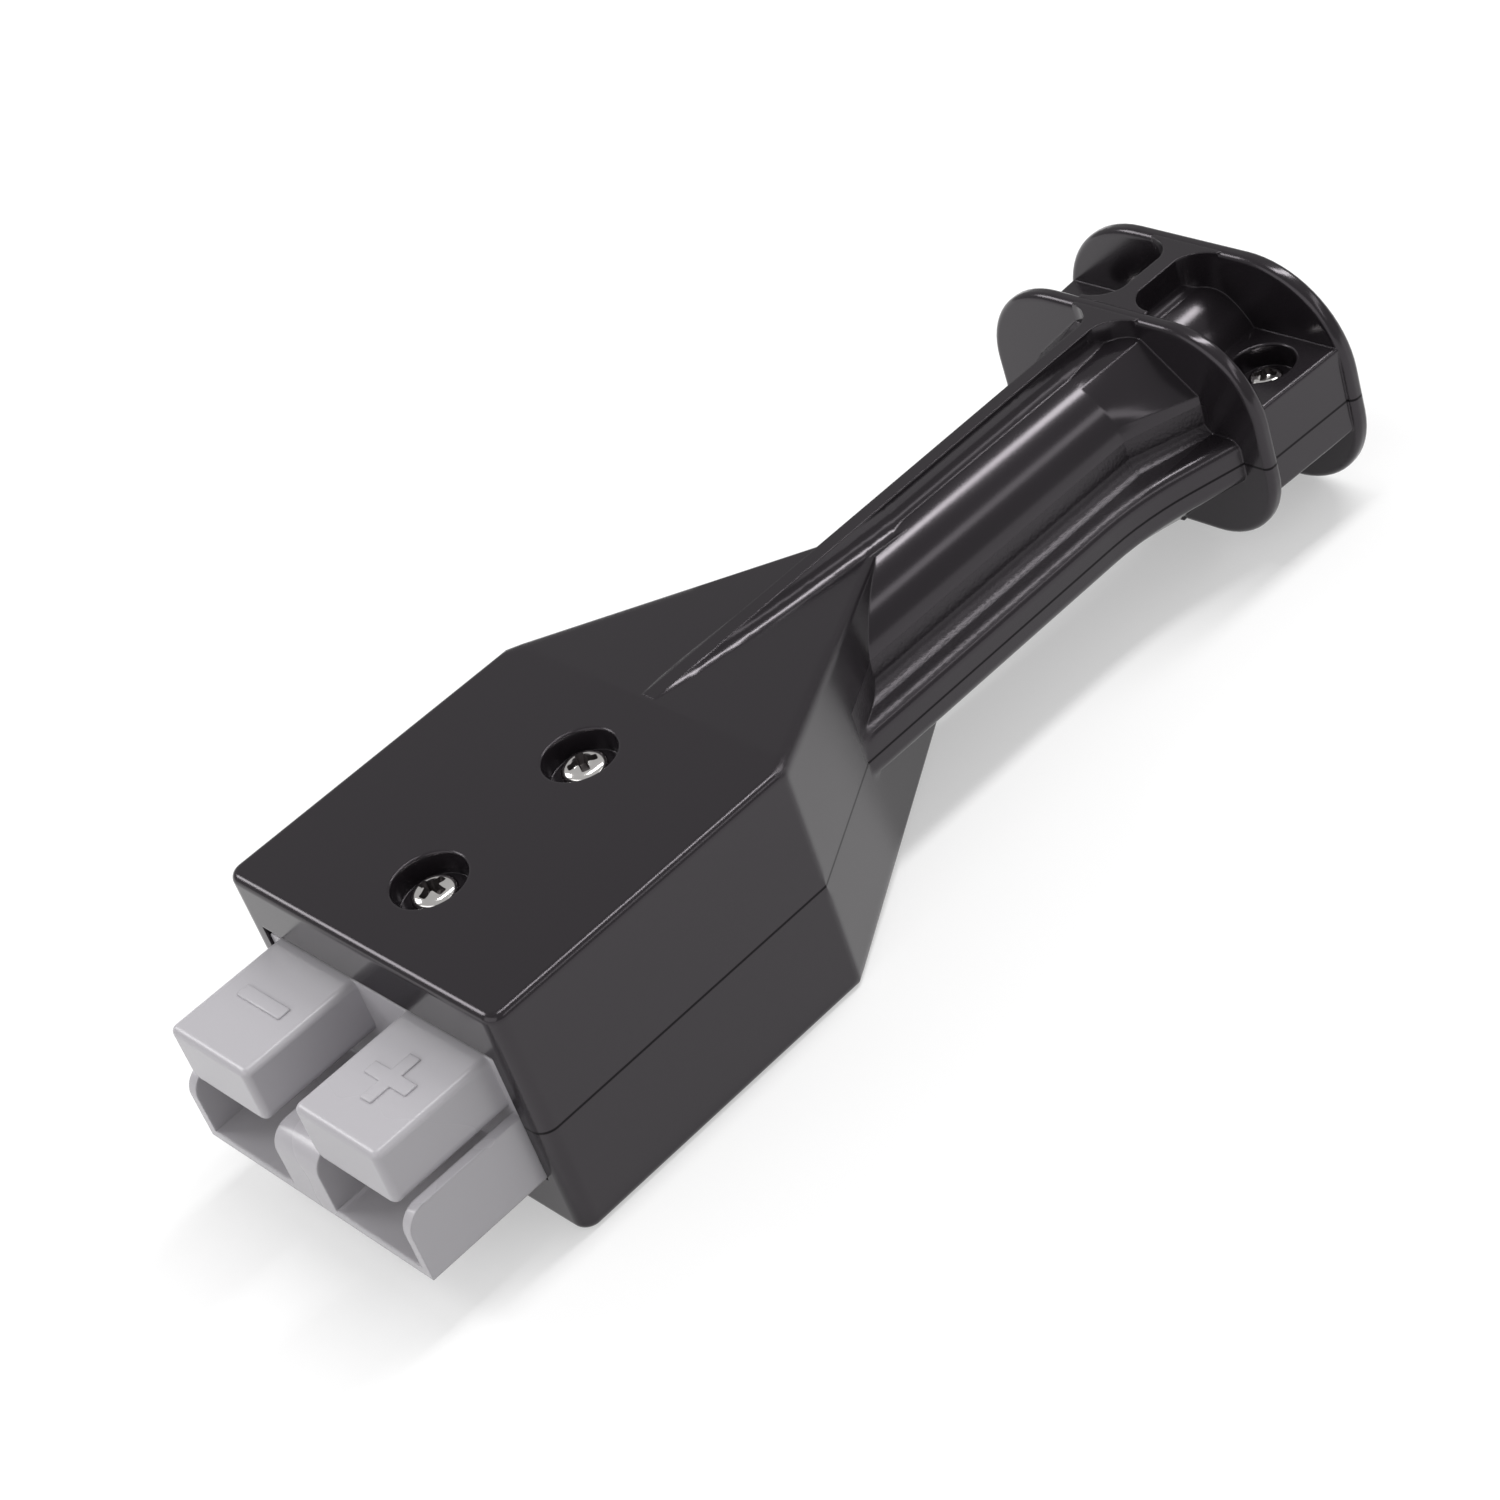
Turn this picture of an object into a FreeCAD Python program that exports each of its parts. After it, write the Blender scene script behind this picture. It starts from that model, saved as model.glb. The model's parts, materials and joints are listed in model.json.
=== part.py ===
import FreeCAD, Part
import math
import os
from dataclasses import dataclass

V = FreeCAD.Vector

# A genderless two-pole power connector in a moulded two-shell handle, in millimetres.
# Y runs from the mating side (-Y) to the cable side (+Y), Z is up, and y = 0 is the front face
# of the handle. z = 0 is the parting plane where the two shells meet.

# Body block of the handle
BODY_TOP = 15.2
BODY_DEPTH = 13.6
BODY_EDGE_ROUND = 0.9
BODY_CORNER_ROUND = 1.8
BODY_REAR_ROOM = 5.5
SHOULDER_FLAT = 1.1
TAPER_ANGLE = 30.4
TAPER_TIP_HALF = 2.2
TOP_FALL = 0.07
BOTTOM_RISE = 0.05

# Round grip behind the body
GRIP_HALF_WIDTH = 8.2
GRIP_TOP = 13.2
GRIP_DEPTH = 10.4
TUNNEL_END_Y = 98.0
FLARE_Y = 102.0
FLARE_HALF_WIDTH = 11.5
FLARE_FLAT_HALF_WIDTH = 4.8
FLARE_CHAMFER_DROP = 5.8
FLARE_TOP = 13.5
FLARE_DEPTH = 10.6
FLARE_SIDE_ANGLE = 25.0
FLARE_CROWN_ANGLE = 65.0

# Rim along the parting plane
RIM_HALF_WIDTH = 12.2
RIM_TOP = 3.0
RIM_DEPTH = 2.7
RIM_FLARE_Y = 93.0
RIM_FLARE_RADIUS = 38.0
RIM_FLARE_LENGTH = 11.2
RIM_EDGE_ROUND = 1.3
COVE_RADIUS = 1.9
COVE_REAR_RADIUS = 1.4
COVE_SINK = 0.04

# Spine on the centre line
SPINE_HALF_WIDTH = 0.9
SPINE_TOP = 15.8
SPINE_FOOT_RADIUS = 2.1
SPINE_BASE_DEPTH = 3.0
SPINE_FOOT_SINK = 0.06
SPINE_START_GAP = 0.4
WEB_HALF_WIDTH = 1.1
WEB_FOOT_RADIUS = 1.8
PLAN_FILLET_RADIUS = 3.8
GUSSET_SINK = 0.1

# End flanges
FRONT_FLANGE_Y = 110.85
FLANGE_THICKNESS = 2.0
FLANGE_GAP = 11.95
FRONT_FLANGE_HALF_WIDTH = 19.4
FRONT_FLANGE_CORNER = 11.0
FRONT_FLANGE_DEPTH = 11.2
FRONT_FLANGE_LOWER_CORNER = 9.8
REAR_FLANGE_HALF_WIDTH = 20.2
REAR_FLANGE_CORNER = 12.5
REAR_FLANGE_DEPTH = 13.2
REAR_FLANGE_LOWER_CORNER = 11.0
FLANGE_EDGE_ROUND = 0.8
LOWER_SPINE_DEPTH = 11.2

# Clamp slab between the flanges
SLAB_TOP = 6.8
SLAB_DEPTH = 4.2
SLAB_EDGE_ROUND = 0.5
CLAMP_GRIP_RADIUS = 8.8
CLAMP_GRIP_TOP = 11.7
CLAMP_GRIP_DEPTH = 9.6

# Inside of the shells
SIDE_WALL = 3.0
TOP_WALL = 2.5
TAPER_WALL = 2.4
GRIP_WALL = 2.2
FRONT_WALL = 2.2
OPENING_TOP_GAP = 0.95
OPENING_FLOOR_GAP = 0.25
RIB_THICKNESS = 1.8
RIB_FRONT_Y = 4.2
RIB_REAR_Y = 24.0
BOSS_WALL = 1.4
STOP_WIDTH = 2.8
STOP_THICKNESS = 2.0
CABLE_RADIUS = 6.2
CABLE_Z = 1.3
CLAMP_RIB_HEIGHT = 0.8
CLAMP_RIB_WIDTH = 1.0
CLAMP_RIB_PITCH = 4.0
CLAMP_RIB_COUNT = 3

# Screws and nuts
SCREW_RADIUS = 1.25
SCREW_HEAD_RADIUS = 2.5
SCREW_HEAD_HEIGHT = 2.1
NUT_ACROSS_FLATS = 5.0
NUT_THICKNESS = 2.0
FLANGE_SCREW_RADIUS = 1.0
FLANGE_SCREW_HEAD_RADIUS = 2.0
FLANGE_SCREW_HEAD_HEIGHT = 1.6
FLANGE_NUT_ACROSS_FLATS = 4.0
FLANGE_NUT_THICKNESS = 1.6
DOME_SHARE = 0.4
RECESS_SHARE = 0.66
RECESS_WIDTH_SHARE = 0.3
RECESS_DEPTH_SHARE = 0.6
BODY_COUNTERBORE_RADIUS = 4.0
BODY_COUNTERBORE_DEPTH = 2.8
FLANGE_COUNTERBORE_RADIUS = 3.6
FLANGE_COUNTERBORE_DEPTH = 2.8
COUNTERBORE_EDGE_ROUND = 0.25
BODY_SCREW_FRONT_Y = 10.1
BODY_SCREW_REAR_INSET = 2.7
BODY_SCREW_LENGTH = 25.0
FLANGE_SCREW_SIDE_WALL = 0.8
FLANGE_SCREW_REAR_INSET = 5.2
FLANGE_SCREW_LENGTH = 8.0

# Grey connector housing
HOUSING_HALF_WIDTH = 18.25
HOUSING_TOP = 8.2
HOUSING_BODY_FRONT_Y = 0.3
HOUSING_LENGTH = 47.8
TRAY_FRONT = 14.7
TRAY_FLOOR = 1.1
TRAY_WALL = 1.25
TRAY_NOSE_ROUND = 2.5
MATE_PLANE = 1.15
CENTRE_WALL_HALF = 3.5
HOOD_SETBACK = 0.7
HOOD_WALL = 1.7
HOOD_FRONT_WALL = 1.5
HOOD_EDGE_ROUND = 0.8
HOOD_LOWER_ROUND = 1.5
HOUSING_EDGE_ROUND = 0.5

# Contacts and their springs
TONGUE_SIDE_GAP = 0.315
TONGUE_THICKNESS = 1.8
TONGUE_RISE = 0.45
TONGUE_SETBACK = 0.4
TONGUE_HOOK = 1.3
BARREL_RADIUS = 3.6
BARREL_BORE = 2.8
BARREL_LENGTH = 16.0
BARREL_FRONT_Y = 11.0
BARREL_Z = 1.6
SPRING_WIDTH = 6.4
SPRING_THICKNESS = 0.5
SPRING_FRONT_GAP = 1.5
SPRING_REAR_Y = 3.0

# Clearances
FIT = 0.15
SCREW_CLEARANCE = 0.2
SEAT_GAP = 0.1
MATE_GAP = 0.1
HOOD_SIDE_GAP = 0.1
HOOD_CENTRE_GAP = 0.37
OVERLAP = 0.5
FAR = 200.0

# Sizes worked out from the ones above
HOUSING_REAR_Y = HOUSING_LENGTH - TRAY_FRONT
SHOULDER_Y = HOUSING_REAR_Y + BODY_REAR_ROOM
BAY_HALF_WIDTH = HOUSING_HALF_WIDTH + FIT
BODY_HALF_WIDTH = BAY_HALF_WIDTH + SIDE_WALL
BODY_SCREW_REAR_Y = HOUSING_REAR_Y - BODY_SCREW_REAR_INSET
REAR_FLANGE_Y = FRONT_FLANGE_Y + FLANGE_THICKNESS + FLANGE_GAP
REAR_Y = REAR_FLANGE_Y + FLANGE_THICKNESS
SLAB_FRONT_Y = FRONT_FLANGE_Y + FLANGE_THICKNESS
TAPER_SLOPE = math.tan(math.radians(TAPER_ANGLE))
TAPER_LENGTH = (BODY_HALF_WIDTH - TAPER_TIP_HALF) / TAPER_SLOPE
TAPER_END_Y = SHOULDER_Y + TAPER_LENGTH
FALL_START_Y = SHOULDER_Y + SHOULDER_FLAT
FLANGE_SCREW_X = CLAMP_GRIP_RADIUS + FLANGE_SCREW_SIDE_WALL + FLANGE_COUNTERBORE_RADIUS
FLANGE_SCREW_Y = REAR_FLANGE_Y - FLANGE_SCREW_REAR_INSET
SPINE_LEVEL_Y = FRONT_FLANGE_Y - PLAN_FILLET_RADIUS
HOUSING_DEPTH = HOUSING_TOP - 2 * MATE_PLANE + MATE_GAP + TRAY_FLOOR
HOOD_INNER_X = CENTRE_WALL_HALF + HOOD_CENTRE_GAP
HOOD_OUTER_X = HOUSING_HALF_WIDTH - TRAY_WALL - HOOD_SIDE_GAP
HOOD_CENTRE_X = (HOOD_INNER_X + HOOD_OUTER_X) / 2
TONGUE_WIDTH = HOOD_OUTER_X - HOOD_INNER_X - 2 * HOOD_WALL - 2 * TONGUE_SIDE_GAP
HOOD_FRONT_Y = HOOD_SETBACK - TRAY_FRONT
HOOD_ROOM_Y = HOOD_FRONT_Y + HOOD_FRONT_WALL
TRAY_FLOOR_TOP = TRAY_FLOOR - HOUSING_DEPTH
BODY_SCREW_SEAT = BODY_TOP - BODY_COUNTERBORE_DEPTH
FLANGE_SCREW_SEAT = SLAB_TOP - FLANGE_COUNTERBORE_DEPTH
TONGUE_BOTTOM = MATE_PLANE + TONGUE_RISE
TONGUE_TOP = TONGUE_BOTTOM + TONGUE_THICKNESS
BARREL_HOLE_RADIUS = BARREL_RADIUS + FIT


@dataclass(frozen=True)
class Half:
    """Heights of one shell, all measured away from the parting plane."""

    height: float
    fall: float
    grip_height: float
    flare_height: float
    rim_height: float
    spine_front: float
    spine_rear: float
    slab_height: float
    clamp_radius: float
    clamp_height: float
    ceiling: float
    opening: float
    housing: float
    cable_z: float


UPPER = Half(BODY_TOP, TOP_FALL, GRIP_TOP, FLARE_TOP, RIM_TOP, BODY_TOP, SPINE_TOP, SLAB_TOP,
             CLAMP_GRIP_RADIUS, CLAMP_GRIP_TOP, BODY_TOP - TOP_WALL, HOUSING_TOP + OPENING_TOP_GAP,
             HOUSING_TOP, CABLE_Z)
LOWER = Half(BODY_DEPTH, BOTTOM_RISE, GRIP_DEPTH, FLARE_DEPTH, RIM_DEPTH, BODY_DEPTH,
             LOWER_SPINE_DEPTH, SLAB_DEPTH, GRIP_HALF_WIDTH, CLAMP_GRIP_DEPTH, BODY_DEPTH - TOP_WALL,
             HOUSING_DEPTH + OPENING_FLOOR_GAP, HOUSING_DEPTH, -CABLE_Z)


# Basic shapes

def box(x0, x1, y0, y1, z0, z1):
    return Part.makeBox(x1 - x0, y1 - y0, z1 - z0, V(x0, y0, z0))


def rod_z(radius, x, y, z0, z1):
    return Part.makeCylinder(radius, z1 - z0, V(x, y, z0), V(0, 0, 1))


def rod_y(radius, x, z, y0, y1):
    return Part.makeCylinder(radius, y1 - y0, V(x, y0, z), V(0, 1, 0))


def line(start, end):
    return Part.makeLine(start, end)


def arc(start, middle, end):
    return Part.Arc(start, middle, end).toShape()


def filled(edges):
    return Part.Face(Part.Wire(edges))


def prism(points, reach):
    corners = [V(*point) for point in points]
    return Part.Face(Part.makePolygon(corners + corners[:1])).extrude(V(*reach))


def mirrored_x(shape):
    return shape.mirror(V(0, 0, 0), V(1, 0, 0))


def mirrored_z(shape):
    return shape.mirror(V(0, 0, 0), V(0, 0, 1))


def joined(shapes):
    return shapes[0].multiFuse(shapes[1:]).removeSplitter()


def edges_where(shape, wanted):
    chosen = []
    for edge in shape.Edges:
        if wanted(edge.BoundBox):
            chosen.append(edge)
    return chosen


# Outer form of one shell, built upwards from the parting plane

def body_height(half, y):
    return half.height - half.fall * max(y - FALL_START_Y, 0.0)


def body_block(half):
    end_height = body_height(half, TAPER_END_Y)
    side = prism([(-FAR, 0, 0), (-FAR, 0, half.height), (-FAR, FALL_START_Y, half.height),
                  (-FAR, TAPER_END_Y, end_height), (-FAR, TAPER_END_Y, 0)], (2 * FAR, 0, 0))
    plan = prism([(-BODY_HALF_WIDTH, 0, 0), (BODY_HALF_WIDTH, 0, 0),
                  (BODY_HALF_WIDTH, SHOULDER_Y, 0), (TAPER_TIP_HALF, TAPER_END_Y, 0),
                  (-TAPER_TIP_HALF, TAPER_END_Y, 0), (-BODY_HALF_WIDTH, SHOULDER_Y, 0)],
                 (0, 0, FAR))
    block = side.common(plan)
    corners = edges_where(block, lambda b: b.ZLength > OVERLAP and b.YMax < OVERLAP)
    block = block.makeFillet(BODY_CORNER_ROUND, corners)
    front = edges_where(block, lambda b: b.ZMin > end_height - OVERLAP and b.YMin < SHOULDER_Y - OVERLAP)
    taper = edges_where(block, lambda b: b.ZMin > end_height - OVERLAP and b.YMin > SHOULDER_Y - OVERLAP
                        and b.YLength > OVERLAP)
    return block.makeFillet(BODY_EDGE_ROUND, front + taper)


def arch(y, half_width, height):
    """Closed section of upright walls under a round top."""
    spring = height - half_width
    left_foot = V(-half_width, y, 0)
    right_foot = V(half_width, y, 0)
    left_spring = V(-half_width, y, spring)
    right_spring = V(half_width, y, spring)
    return Part.Wire([line(left_foot, right_foot), line(right_foot, right_spring),
                      arc(right_spring, V(0, y, height), left_spring), line(left_spring, left_foot)])


def grip_section(half, y):
    """The grip's section in eight edges, one for each edge of the flare's end."""
    spring = half.grip_height - GRIP_HALF_WIDTH
    side = FLARE_SIDE_ANGLE
    crown = FLARE_CROWN_ANGLE
    angles = [0, side / 2, side, (side + crown) / 2, crown, 90]
    right = []
    for angle in angles:
        turn = math.radians(angle)
        right.append(V(GRIP_HALF_WIDTH * math.cos(turn), y, spring + GRIP_HALF_WIDTH * math.sin(turn)))
    left = [V(-point.x, point.y, point.z) for point in right]
    right_foot = V(GRIP_HALF_WIDTH, y, 0)
    left_foot = V(-GRIP_HALF_WIDTH, y, 0)
    return Part.Wire([line(left_foot, right_foot), line(right_foot, right[0]),
                      arc(right[0], right[1], right[2]), arc(right[2], right[3], right[4]),
                      arc(right[4], right[5], left[4]), arc(left[4], left[3], left[2]),
                      arc(left[2], left[1], left[0]), line(left[0], left_foot)])


def flare_section(half, y):
    """End of the flare: upright sides, a chamfer on each side and a flat crown."""
    break_height = half.flare_height - FLARE_CHAMFER_DROP
    points = [V(-FLARE_HALF_WIDTH, y, 0), V(FLARE_HALF_WIDTH, y, 0),
              V(FLARE_HALF_WIDTH, y, break_height / 2), V(FLARE_HALF_WIDTH, y, break_height),
              V(FLARE_FLAT_HALF_WIDTH, y, half.flare_height),
              V(-FLARE_FLAT_HALF_WIDTH, y, half.flare_height),
              V(-FLARE_HALF_WIDTH, y, break_height), V(-FLARE_HALF_WIDTH, y, break_height / 2)]
    edges = []
    for index in range(len(points)):
        edges.append(line(points[index], points[(index + 1) % len(points)]))
    return Part.Wire(edges)


def grip(half):
    start = SHOULDER_Y + 2 * BODY_EDGE_ROUND
    tube = Part.Face(arch(start, GRIP_HALF_WIDTH, half.grip_height)).extrude(V(0, FLARE_Y - start, 0))
    flare = Part.makeLoft([grip_section(half, FLARE_Y), flare_section(half, FRONT_FLANGE_Y)], True, True)
    clamp = Part.Face(arch(SLAB_FRONT_Y - OVERLAP, half.clamp_radius, half.clamp_height))
    clamp = clamp.extrude(V(0, FLANGE_GAP + 2 * OVERLAP, 0))
    return [tube, flare, clamp]


def cove_section(half, y, wall_x, radius):
    """Closed section of the hollow round between the grip's side and the rim."""
    foot = half.rim_height - COVE_SINK
    inner_x = GRIP_HALF_WIDTH / 2
    middle = radius * (1 - math.sqrt(0.5))
    edges = [line(V(inner_x, y, foot - OVERLAP), V(wall_x + radius, y, foot - OVERLAP)),
             line(V(wall_x + radius, y, foot - OVERLAP), V(wall_x + radius, y, foot)),
             arc(V(wall_x + radius, y, foot), V(wall_x + middle, y, foot + middle),
                 V(wall_x, y, foot + radius)),
             line(V(wall_x, y, foot + radius), V(inner_x, y, foot + radius)),
             line(V(inner_x, y, foot + radius), V(inner_x, y, foot - OVERLAP))]
    return Part.Wire(edges)


def coves(half):
    """Hollow rounds along both sides of the grip, narrower at the flange."""
    start = SHOULDER_Y + 2 * BODY_EDGE_ROUND
    top = half.rim_height - COVE_SINK + COVE_RADIUS
    rise = max(top - half.grip_height + GRIP_HALF_WIDTH, 0.0)
    wall_x = math.sqrt(GRIP_HALF_WIDTH ** 2 - rise ** 2) - COVE_SINK
    straight = Part.Face(cove_section(half, start, wall_x, COVE_RADIUS)).extrude(V(0, FLARE_Y - start, 0))
    widening = Part.makeLoft([cove_section(half, FLARE_Y, wall_x, COVE_RADIUS),
                              cove_section(half, FRONT_FLANGE_Y, FLARE_HALF_WIDTH - COVE_SINK,
                                           COVE_REAR_RADIUS)], True, True)
    return [straight, widening, mirrored_x(straight), mirrored_x(widening)]


def rim(half):
    start = SHOULDER_Y + 2 * BODY_EDGE_ROUND
    turn = math.asin(RIM_FLARE_LENGTH / RIM_FLARE_RADIUS)
    end_x = RIM_HALF_WIDTH + RIM_FLARE_RADIUS * (1 - math.cos(turn))
    middle_x = RIM_HALF_WIDTH + RIM_FLARE_RADIUS * (1 - math.cos(turn / 2))
    middle_y = RIM_FLARE_Y + RIM_FLARE_RADIUS * math.sin(turn / 2)
    end_y = RIM_FLARE_Y + RIM_FLARE_LENGTH
    rear_y = FRONT_FLANGE_Y + FLANGE_THICKNESS / 2
    rear_x = end_x + (rear_y - end_y) * math.tan(turn)
    edges = [line(V(-RIM_HALF_WIDTH, start, 0), V(RIM_HALF_WIDTH, start, 0)),
             line(V(RIM_HALF_WIDTH, start, 0), V(RIM_HALF_WIDTH, RIM_FLARE_Y, 0)),
             arc(V(RIM_HALF_WIDTH, RIM_FLARE_Y, 0), V(middle_x, middle_y, 0), V(end_x, end_y, 0)),
             line(V(end_x, end_y, 0), V(rear_x, rear_y, 0)),
             line(V(rear_x, rear_y, 0), V(-rear_x, rear_y, 0)),
             line(V(-rear_x, rear_y, 0), V(-end_x, end_y, 0)),
             arc(V(-end_x, end_y, 0), V(-middle_x, middle_y, 0), V(-RIM_HALF_WIDTH, RIM_FLARE_Y, 0)),
             line(V(-RIM_HALF_WIDTH, RIM_FLARE_Y, 0), V(-RIM_HALF_WIDTH, start, 0))]
    plate = filled(edges).extrude(V(0, 0, half.rim_height))
    outer = edges_where(plate, lambda b: b.ZMin > half.rim_height - RIM_EDGE_ROUND and b.YLength > OVERLAP)
    return plate.makeFillet(RIM_EDGE_ROUND, outer)


def spine_height(half, y):
    share = min((y - FALL_START_Y) / (SPINE_LEVEL_Y - FALL_START_Y), 1.0)
    return half.spine_front + share * (half.spine_rear - half.spine_front)


def surface_height(half, x, y):
    """Height of the body block or the grip at a place beside the spine."""
    half_width = BODY_HALF_WIDTH - max(y - SHOULDER_Y, 0.0) * TAPER_SLOPE
    spring = half.grip_height - GRIP_HALF_WIDTH
    grip_height = spring + math.sqrt(GRIP_HALF_WIDTH ** 2 - x ** 2)
    if x < half_width - BODY_EDGE_ROUND:
        return max(grip_height, body_height(half, y))
    return grip_height


def spine_section(half, y):
    top = spine_height(half, y)
    widest = SPINE_HALF_WIDTH + SPINE_FOOT_RADIUS
    depth = top - surface_height(half, widest, y) + SPINE_FOOT_SINK
    drop = min(depth, SPINE_FOOT_RADIUS)
    reach = math.sqrt(2 * SPINE_FOOT_RADIUS * drop - drop ** 2)
    foot = SPINE_HALF_WIDTH + reach
    turn = math.acos(1 - drop / SPINE_FOOT_RADIUS) / 2
    middle_x = foot - SPINE_FOOT_RADIUS * math.sin(turn)
    middle_z = top - depth + SPINE_FOOT_RADIUS * (1 - math.cos(turn))
    base = top - depth - SPINE_BASE_DEPTH
    crest = top + SPINE_BASE_DEPTH
    edges = [line(V(-foot, y, base), V(foot, y, base)),
             line(V(foot, y, base), V(foot, y, top - depth)),
             arc(V(foot, y, top - depth), V(middle_x, y, middle_z), V(SPINE_HALF_WIDTH, y, top)),
             line(V(SPINE_HALF_WIDTH, y, top), V(SPINE_HALF_WIDTH, y, crest)),
             line(V(SPINE_HALF_WIDTH, y, crest), V(-SPINE_HALF_WIDTH, y, crest)),
             line(V(-SPINE_HALF_WIDTH, y, crest), V(-SPINE_HALF_WIDTH, y, top)),
             arc(V(-SPINE_HALF_WIDTH, y, top), V(-middle_x, y, middle_z), V(-foot, y, top - depth)),
             line(V(-foot, y, top - depth), V(-foot, y, base))]
    return Part.Wire(edges)


def spine(half):
    start = FALL_START_Y + SPINE_START_GAP
    shares = [0.0, 0.04, 0.1, 0.2, 0.35, 0.5, 0.75, 1.0]
    length = FRONT_FLANGE_Y + OVERLAP - start
    sections = [spine_section(half, start + share * length) for share in shares]
    ridge = Part.makeLoft(sections, True, True)
    below = prism([(-FAR, 0, 0), (-FAR, FALL_START_Y, half.spine_front),
                   (-FAR, SPINE_LEVEL_Y, half.spine_rear), (-FAR, FAR, half.spine_rear),
                   (-FAR, FAR, 0)], (2 * FAR, 0, 0))
    return ridge.common(below)


def clamp_web(half):
    """Spine between the flanges, with round feet on the clamp's grip."""
    y = SLAB_FRONT_Y - OVERLAP
    top = half.spine_rear
    foot = WEB_HALF_WIDTH + WEB_FOOT_RADIUS
    spring = half.clamp_height - half.clamp_radius
    low = spring + math.sqrt(half.clamp_radius ** 2 - foot ** 2)
    if top - low < WEB_FOOT_RADIUS + OVERLAP:
        return box(-WEB_HALF_WIDTH, WEB_HALF_WIDTH, y, y + FLANGE_GAP + 2 * OVERLAP, spring, top)
    high = low + WEB_FOOT_RADIUS
    middle = WEB_FOOT_RADIUS * (1 - math.sqrt(0.5))
    right = [V(foot, y, spring), V(foot, y, low), V(WEB_HALF_WIDTH, y, high), V(WEB_HALF_WIDTH, y, top)]
    left = [V(-point.x, point.y, point.z) for point in right]
    edges = [line(left[0], right[0]), line(right[0], right[1]),
             arc(right[1], V(WEB_HALF_WIDTH + middle, y, low + middle), right[2]),
             line(right[2], right[3]), line(right[3], left[3]), line(left[3], left[2]),
             arc(left[2], V(-WEB_HALF_WIDTH - middle, y, low + middle), left[1]),
             line(left[1], left[0])]
    return filled(edges).extrude(V(0, FLANGE_GAP + 2 * OVERLAP, 0))


def plan_fillet(half, face_y, toward, half_width):
    """Curved gusset on both sides where the spine meets a flange."""
    reach = PLAN_FILLET_RADIUS
    near_y = face_y + toward * reach
    middle = reach * (1 - math.sqrt(0.5))
    low = half.grip_height / 2
    inside_y = face_y - toward * OVERLAP
    start_x = half_width - GUSSET_SINK
    edges = [line(V(0, inside_y, low), V(0, near_y, low)),
             line(V(0, near_y, low), V(start_x, near_y, low)),
             arc(V(start_x, near_y, low), V(start_x + middle, face_y + toward * middle, low),
                 V(start_x + reach, face_y, low)),
             line(V(start_x + reach, face_y, low), V(start_x + reach, inside_y, low)),
             line(V(start_x + reach, inside_y, low), V(0, inside_y, low))]
    gusset = filled(edges).extrude(V(0, 0, half.spine_rear - low))
    return [gusset, mirrored_x(gusset)]


def flange(y, half_width, height, corner):
    """Half of one end flange, with its outer edges rounded over."""
    plate = box(-half_width, half_width, y, y + FLANGE_THICKNESS, 0, height)
    corners = edges_where(plate, lambda b: b.ZMin > height - OVERLAP and b.XLength < OVERLAP)
    plate = plate.makeFillet(corner, corners)
    outer = edges_where(plate, lambda b: b.YLength < FLANGE_EDGE_ROUND and b.ZMax > OVERLAP)
    return plate.makeFillet(FLANGE_EDGE_ROUND, outer)


def slab(half):
    """Clamp slab whose sides run from one flange's rounded edge to the other's."""
    front = SLAB_FRONT_Y - OVERLAP
    rear = REAR_FLANGE_Y + OVERLAP
    front_x = FRONT_FLANGE_HALF_WIDTH - FLANGE_EDGE_ROUND
    rear_x = REAR_FLANGE_HALF_WIDTH - FLANGE_EDGE_ROUND
    block = prism([(-front_x, front, 0), (front_x, front, 0), (rear_x, rear, 0), (-rear_x, rear, 0)],
                  (0, 0, half.slab_height))
    outer = edges_where(block, lambda b: b.ZMin > half.slab_height - OVERLAP and b.YLength > OVERLAP)
    return block.makeFillet(SLAB_EDGE_ROUND, outer)


def outer_form(half, flanges):
    pieces = [body_block(half), rim(half), spine(half), clamp_web(half), slab(half)]
    pieces += grip(half)
    pieces += coves(half)
    pieces += flanges
    pieces += plan_fillet(half, FRONT_FLANGE_Y, -1, SPINE_HALF_WIDTH)
    pieces += plan_fillet(half, SLAB_FRONT_Y, 1, WEB_HALF_WIDTH)
    pieces += plan_fillet(half, REAR_FLANGE_Y, -1, WEB_HALF_WIDTH)
    return joined(pieces)


# Inner form of one shell, cut out of the outer form

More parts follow.
